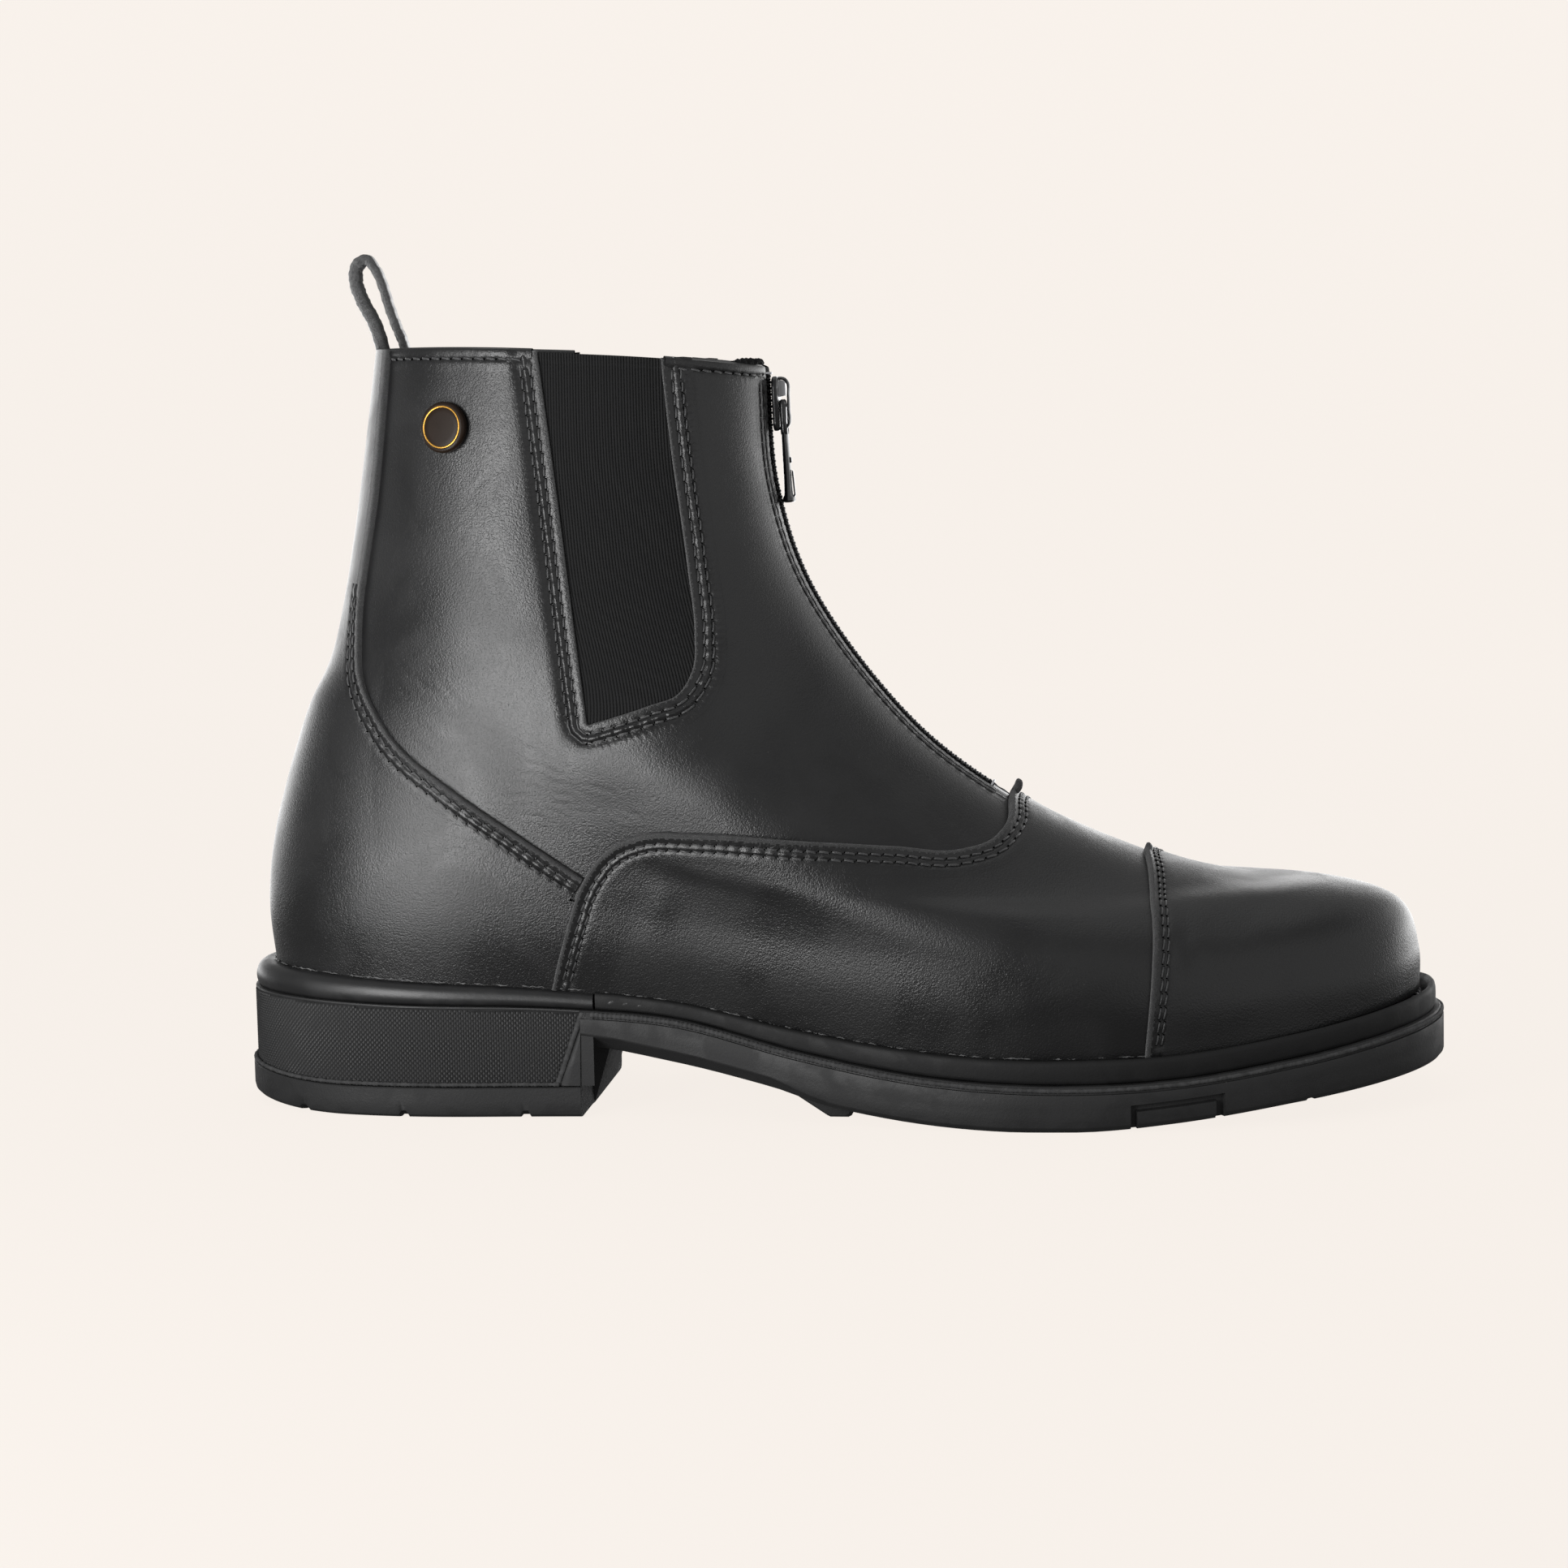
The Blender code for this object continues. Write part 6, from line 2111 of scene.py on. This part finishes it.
    def _heel_weave(self) -> None:
        """The heel's inset panel in a basket weave, with its raised frame."""
        turn = np.linspace(0.5, 2 * np.pi - 0.5, 6000)
        edge = self.plan(turn, self._reach(turn))
        length = run_length(edge)
        inside = edge[:, 0] < self.panel_front_top
        start, end = length[inside][0], length[inside][-1]
        first, final = math.ceil(start / self.weave_run), math.floor(end / self.weave_run)
        s = self.weave_run / 2 * np.arange(2 * first, 2 * final + 1)
        turns = np.interp(s, length, turn)
        reach = self._reach(turns)
        x = self.plan(turns, reach)[:, 0]
        kick = self._under(x)
        step = self.weave_long / 4
        z = step * np.arange(math.floor(self.panel_bottom / step), math.ceil(SOLE_ROWS[0].ledge / step))[None]
        column = np.floor(s / self.weave_run + 0.01)
        bar = np.abs(np.sin(np.pi * (z / self.weave_long + 0.5 * (column % 2)[:, None])))
        bump = np.abs(np.sin(np.pi * s / self.weave_run))[:, None] * np.sqrt(bar)
        out = reach[:, None] - self.panel_set - self.panel_sink + 0.02 + self.weave_rise * bump
        plan = np.stack([self.plan(turns, out[:, k]) for k in range(out.shape[1])], axis=1)
        ledge = self.last.sole("ledge", x)[:, None]
        keep = (z > self.panel_bottom + kick[:, None]) & (z < ledge - 1.2)
        keep &= self._panel_front(z, ledge) - x[:, None] > self.strip_half
        draft = MeshDraft()
        places = with_height(plan, np.broadcast_to(z, out.shape))
        draft.grid(places, 0, keep[:-1, :-1])
        draft.piece("heel_weave", [RUBBER], "rubber", sharp=60.0)
        self._panel_frame(turns, edge, turn)

    def _panel_front(self, z: Array, ledge: Array) -> Array:
        """Place along the boot of the heel panel's slanted front at heights."""
        share = (z - self.panel_bottom) / (ledge - 0.7 - self.panel_bottom)
        return self.panel_front_foot + (self.panel_front_top - self.panel_front_foot) * share

    def _panel_frame(self, turns: Array, edge: Array, turn: Array) -> None:
        """Pale strip down the heel panel's fronts and along its foot; its pale colour is a painted highlight.

        Args:
            turns: turns along the panel.
            edge: points along the sole's edge in plan.
            turn: the turns of those points.
        """
        draft = MeshDraft()
        ledge = float(self.last.sole("ledge", np.array(self.panel_front_top)))
        z = np.linspace(self.panel_bottom - 0.3, ledge - 0.5, 40)
        across = np.array([-1.0, -0.9, -0.55, 0.0, 0.55, 0.9, 1.0])
        rise = np.array([-0.2, 0.5, 0.8, 0.86, 0.8, 0.5, -0.2])
        middle = len(turn) // 2
        for half in (slice(None, middle), slice(middle, None)):
            order = np.argsort(edge[half, 0])
            x = self._panel_front(z, ledge)[:, None] + self.strip_half * across
            found = np.interp(x, edge[half, 0][order], turn[half][order])
            plan = self.plan(found, self._reach(found) - self.panel_set - self.panel_sink + rise)
            draft.grid(with_height(plan, np.repeat(z[:, None], len(across), axis=1)))
            share = np.linspace(0, 1, 9)
            x = x[:, -1:] + (self.panel_end + 0.5 - x[:, -1:]) * share
            found = np.interp(x, edge[half, 0][order], turn[half][order])
            plan = self.plan(found, self._reach(found) - 0.32 - 0.5 * (share == 0))
            draft.grid(with_height(plan, np.repeat(z[:, None], len(share), axis=1)), 1)
        low = turns[self.plan(turns, self._reach(turns))[:, 0] < self.panel_front_foot + 0.6]
        reach = self._reach(low)
        kick = self._under(self.plan(low, reach)[:, 0])
        rough = 0.07 * np.sin(2.1 * np.arange(len(low))) + 0.06 * np.sin(0.77 * np.arange(len(low)))
        sections = []
        for a in np.linspace(0, 2 * np.pi, 10, endpoint=False):
            plan = self.plan(low, reach - 0.55 + (0.55 + rough) * math.cos(a))
            sections.append(with_height(plan, self.panel_bottom + kick + (0.5 + rough) * math.sin(a)))
        draft.sweep(np.stack(sections, axis=1))
        # The frame's pale strips and foot cord paint a highlight; the slanted faces keep the outsole's
        # rubber.
        draft.piece("heel_panel_frame", [PALE_RUBBER, RUBBER], "rubber", sharp=60.0)

    def _bead(self) -> None:
        """Knurled bead along the outsole's upper edge."""
        turn = np.linspace(-2.4, 2.4, 6000)
        edge = self.plan(turn, self._reach(turn))
        length = run_length(edge)
        inside = edge[:, 0] > self.joint_x - 1.0
        s = np.arange(length[inside][0], length[inside][-1], 0.27)
        turns = np.interp(s, length, turn)
        reach = self._reach(turns)
        x = self.plan(turns, reach)[:, 0]
        ledge = self.last.sole("ledge", x)
        angle = np.linspace(0, 2 * np.pi, 12, endpoint=False)
        rough = 0.16 * (1 - 0.8 * ease(x, -10.0, 50.0))
        knurl = 1.0 - 0.2 * ease(x, 0.0, 60.0) + rough * np.cos(2 * np.pi * s / self.knurl_pitch)
        knurl = knurl + 0.05 * np.sin(0.61 * s)
        sections = []
        for a in angle:
            out = reach - 0.45 + knurl * 0.62 * math.cos(a)
            z = ledge - 0.95 + knurl * 0.66 * math.sin(a)
            sections.append(with_height(self.plan(turns, out), z))
        draft = MeshDraft()
        draft.sweep(np.stack(sections, axis=1))
        # The bead is in pale rubber, lighter than the outsole's.
        draft.piece("outsole_bead", [PALE_RUBBER], "rubber", sharp=80.0)

    def _strip(self, turns: Array, setback: float, profile: Sequence[Span]) -> Array:
        """Sections of a strip on the outsole's ledge.

        Args:
            turns: turns along the strip.
            setback: how far its edge is inside the outsole's edge.
            profile: rows of (distance in from the edge, share of the height).

        Returns:
            The sections, one row of points for each turn.
        """
        reach = self._reach(turns) - setback
        sections = []
        for inward, share in profile:
            plan = self.plan(turns, np.maximum(reach - inward, 0.3 - self.rebate))
            low = self.last.sole("ledge", plan[:, 0]) + 0.1
            high = self.last.sole("seat", plan[:, 0])
            sections.append(with_height(plan, low + (high - low) * share))
        return np.stack(sections, axis=1)

    def _joint(self) -> float:
        """Turn at which welt and rand meet."""
        turn = np.linspace(0.2, 3.0, 800)
        return float(np.interp(-self.joint_x, -self.last.face(0.0, turn)[:, 0], turn))

    def _welt(self) -> None:
        """Welt with its lip, the channel along the upper and the rope stitching in it."""
        joint = self._joint()
        turns = np.linspace(-joint + 0.002, joint - 0.002, 420)
        profile = (
            (30.0, 0.0), (1.0, 0.0), (0.35, 0.02), (0.1, 0.08), (0.0, 0.2), (-0.05, 0.5), (0.0, 0.78),
            (0.2, 0.93), (0.6, 1.02), (1.1, 1.04), (1.6, 0.98), (1.95, 0.84), (2.15, 0.6), (2.6, 0.36),
            (30.0, 0.3),
        )
        draft = MeshDraft()
        draft.sweep(self._strip(turns, self.welt_setback, profile))
        # The welt's darker rubber is painted shade from the upper's overhang.
        draft.piece("welt_strip", [SHADED_WELT_RUBBER], "rubber", ["welt"], sharp=50.0)
        line = self.plan(turns, np.full(len(turns), 2.0))
        length = run_length(line)
        middles = np.arange(2.0, length[-1] - 2.0, self.rope_pitch)
        reach = np.array([-1.0, -0.8, -0.4, 0.0, 0.4, 0.8, 1.0])
        s = (middles[:, None] + 1.9 * reach).ravel()
        where = np.interp(s, length, turns)
        skew = np.tile(0.55 * reach, len(middles))
        plan = self.plan(where, 2.1 + skew)
        z = self.last.sole("seat", plan[:, 0]) - 2.3 + np.tile(0.6 * (1 - reach**2), len(middles))
        centres = with_height(plan, z).reshape(len(middles), len(reach), 3)
        along = unit(np.gradient(centres, axis=1))
        across = unit(np.cross(along, UPWARD))
        thick = np.array([0.3, 0.75, 0.95, 1.0, 0.95, 0.75, 0.3])[:, None] * self.rope_radius
        rope = MeshDraft()
        rope.tubes(centres, across * thick, unit(np.cross(across, along)) * thick)
        rope.piece("welt_stitching", [THREAD], "rubber", sharp=80.0)

    def _rand(self) -> None:
        """Rounded rand round the heel."""
        joint = self._joint()
        turns = np.linspace(joint + 0.002, 2 * np.pi - joint - 0.002, 260)
        profile = (
            (30.0, 0.0), (0.45, 0.0), (0.15, 0.03), (-0.1, 0.10), (-0.3, 0.22), (-0.4, 0.36), (-0.3, 0.52),
            (0.0, 0.68), (0.6, 0.83), (1.6, 0.95), (2.8, 1.01), (4.2, 0.97), (30.0, 0.9),
        )
        draft = MeshDraft()
        draft.sweep(self._strip(turns, self.rand_setback, profile))
        draft.piece("heel_rand_roll", [ROLL], "rubber", ["heel_rand"], sharp=50.0)

    def _cement(self) -> None:
        """Broken line of cement squeezed out where the upper meets rand and welt."""
        turn = np.linspace(-np.pi, np.pi, 4000)
        line = self.plan(turn, np.full(len(turn), 1.6))
        length = run_length(line)
        chance = np.random.default_rng(5)
        starts = np.cumsum(chance.uniform(2.0, 7.0, 160))
        starts = starts[starts < length[-1] - 6.0]
        spans = chance.uniform(1.2, 4.6, len(starts))
        share = np.linspace(0, 1, 7)
        where = np.interp(starts[:, None] + spans[:, None] * share, length, turn)
        thick = chance.uniform(0.10, 0.26, where.shape) * np.sin(np.pi * np.clip(share, 0.08, 0.92))
        plan = self.plan(where.ravel(), chance.uniform(1.45, 1.85, where.size))
        z = self.last.sole("seat", plan[:, 0]) + chance.uniform(0.1, 0.4, where.size)
        centres = with_height(plan, z).reshape(*where.shape, 3)
        along = unit(np.gradient(centres, axis=1))
        across = unit(np.cross(along, UPWARD))
        draft = MeshDraft()
        draft.tubes(centres, across * thick[..., None], np.cross(across, along) * thick[..., None])
        draft.piece("cement_line", [CEMENT], "rubber", sharp=80.0)

    def _insole(self) -> None:
        """Insole inside the upper, slightly dished at the heel."""
        plan = self.plan(self.turns, np.full(len(self.turns), -(self.last.wall + 0.6)))
        seat = self.last.sole("seat", plan[:, 0])
        draft = MeshDraft()
        rings = [with_height(plan, seat + rise) for rise in (0.0, self.insole_thick)]
        inner = self.plan(self.turns, np.full(len(self.turns), -(self.last.wall + 2.0)))
        rings.append(with_height(inner, self.last.sole("seat", inner[:, 0]) + 3.3))
        numbers = draft.points(np.stack(rings))
        draft.weave(numbers, ring=True)
        self._strips(draft, numbers[-1])
        self._strips(draft, numbers[0])
        draft.piece("insole_board", [LINING], "lining", ["insole"], sharp=50.0)


@dataclass
class Studio:
    """Pale floor and backdrop, soft lights and the camera."""

    cream: Colour = (0.905, 0.850, 0.800)
    paper: Colour = (0.06, 0.0564, 0.0528)
    ambient: Colour = (0.33, 0.33, 0.33)
    glow: float = 0.985
    bounce_front: float = 0.12
    bounce_right: float = 0.7
    bounce_behind: float = 2.9
    camera_place: Place = (87.24, -895.95, 176.22)
    camera_aim: Place = (-12.75, 0.0, 77.81)
    camera_roll: float = -1.3
    focal_length: float = 83.33
    sensor: float = 36.0

    def build(self) -> None:
        """Set up the stage, the lights and the camera."""
        self._stage()
        self._lights()
        self._camera()
        bpy.context.scene.view_settings.view_transform = "Standard"

    def _stage(self) -> None:
        """Floor that runs up into a backdrop in one sweep."""
        bend = np.linspace(0.1, np.pi / 2, 12)
        depth = np.concatenate([np.linspace(-3.2, 1.2, 12), 1.2 + 0.8 * np.sin(bend), [2.0]])
        height = np.concatenate([np.zeros(12), 0.8 * (1 - np.cos(bend)), [3.2]])
        across = np.linspace(-3.5, 3.5, 3)
        points = [(x, y, z) for y, z in zip(depth, height) for x in across]
        firsts = [3 * i + j for i in range(len(depth) - 1) for j in range(2)]
        faces = [(first, first + 1, first + 4, first + 3) for first in firsts]
        mesh = bpy.data.meshes.new("sweep")
        mesh.from_pydata(points, [], faces)
        mesh.shade_smooth()
        paper = bpy.data.materials.new("cream paper")
        paper.use_nodes = True
        shader = paper.node_tree.nodes["Principled BSDF"]
        shader.inputs["Base Color"].default_value = (*self.paper, 1.0)
        shader.inputs["Roughness"].default_value = 0.9
        shader.inputs["Specular IOR Level"].default_value = 0.0
        shader.inputs["Emission Strength"].default_value = 1.0
        pen = NodePen(paper.node_tree)
        apart = pen.node("ShaderNodeSeparateXYZ")
        pen.link(pen.node("ShaderNodeTexCoord").outputs["Object"], apart.inputs[0])
        behind = pen.ramp(apart.outputs["Y"], 0.15, 0.45, 0.0, self.bounce_behind)
        right = pen.ramp(apart.outputs["X"], 0.2, 0.5, 0.0, self.bounce_right)
        fade = pen.ramp(apart.outputs["Z"], 0.1, 1.0, 1.0, 0.12)
        brighter = pen.math("MULTIPLY", pen.math("MAXIMUM", behind, right), fade)
        bounce = pen.math("MAXIMUM", brighter, self.bounce_front)
        tone = pen.node("ShaderNodeMix", data_type="RGBA")
        tone.inputs["B"].default_value = (*(self.glow * part for part in self.cream), 1.0)
        pen.link(bounce, tone.inputs["A"])
        pen.link(pen.node("ShaderNodeLightPath").outputs["Is Camera Ray"], tone.inputs["Factor"])
        pen.link(tone.outputs["Result"], shader.inputs["Emission Color"])
        mesh.materials.append(paper)
        stage = bpy.data.objects.new("backdrop", mesh)
        bpy.context.scene.collection.objects.link(stage)
        world = bpy.data.worlds.new("studio")
        bpy.context.scene.world = world
        world.use_nodes = True
        world.node_tree.nodes["Background"].inputs[0].default_value = (*self.ambient, 1.0)
        world.node_tree.nodes["Background"].inputs[1].default_value = 1.0

    @staticmethod
    def _lamp(name: str, place: Place, aim: Place, size: Span, power: float) -> None:
        """Add one soft rectangular light, in metres and watts.

        Args:
            name: the light's name.
            place: where it stands.
            aim: what it points at.
            size: its width and height.
            power: its power.
        """
        data = bpy.data.lights.new(name, "AREA")
        data.shape = "RECTANGLE"
        data.size, data.size_y = size
        data.energy = power
        lamp = bpy.data.objects.new(name, data)
        lamp.location = place
        lamp.rotation_euler = (Vector(aim) - Vector(place)).to_track_quat("-Z", "Y").to_euler()
        lamp.visible_camera = False
        bpy.context.scene.collection.objects.link(lamp)

    def _lights(self) -> None:
        """Low key from the left in front, a light on the floor under it, fills and a top light."""
        aim = (-0.02, 0.0, 0.07)
        self._lamp("key softbox", (-0.385, -0.555, 0.17), (-0.085, -0.03, 0.10), (0.27, 0.32), 2.9)
        self._lamp("floor softbox", (-0.23, -0.28, 0.004), (-0.23, -0.28, 1.0), (0.26, 0.16), 1.8)
        self._lamp("fill softbox", (1.35, -0.80, 0.55), aim, (2.4, 1.4), 3.2)
        self._lamp("right softbox", (1.17, 0.83, 0.46), aim, (1.0, 1.0), 2.4)
        self._lamp("top softbox", (0.0, 0.1, 1.4), aim, (1.2, 1.2), 2.0)

    def _camera(self) -> None:
        """Camera at the photograph's viewing angle."""
        place = np.array(self.camera_place)
        forward = unit(np.array(self.camera_aim) - place)
        right = unit(np.cross(forward, UPWARD))
        up = np.cross(right, forward)
        turn = math.radians(self.camera_roll)
        x_axis = math.cos(turn) * right + math.sin(turn) * up
        y_axis = -math.sin(turn) * right + math.cos(turn) * up
        data = bpy.data.cameras.new("camera")
        data.lens = self.focal_length
        data.sensor_width = self.sensor
        data.clip_start = 0.01
        camera = bpy.data.objects.new("camera", data)
        matrix = np.eye(4)
        matrix[:3, 0], matrix[:3, 1], matrix[:3, 2], matrix[:3, 3] = x_axis, y_axis, -forward, place * MM
        camera.matrix_world = Matrix(matrix.tolist())
        bpy.context.scene.collection.objects.link(camera)
        bpy.context.scene.camera = camera


def main() -> None:
    """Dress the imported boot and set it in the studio."""
    logging.basicConfig(level=logging.INFO, format="%(name)s: %(message)s")
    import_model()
    last = Last()
    seams = SeamWork(last)
    upper = Upper(last, seams)
    upper.build()
    seams.finish()
    Gores(upper).build()
    Zip(last).build()
    Badge(last).build()
    PullLoop().build()
    Sole(last).build()
    Studio().build()


if __name__ == "__main__":
    main()
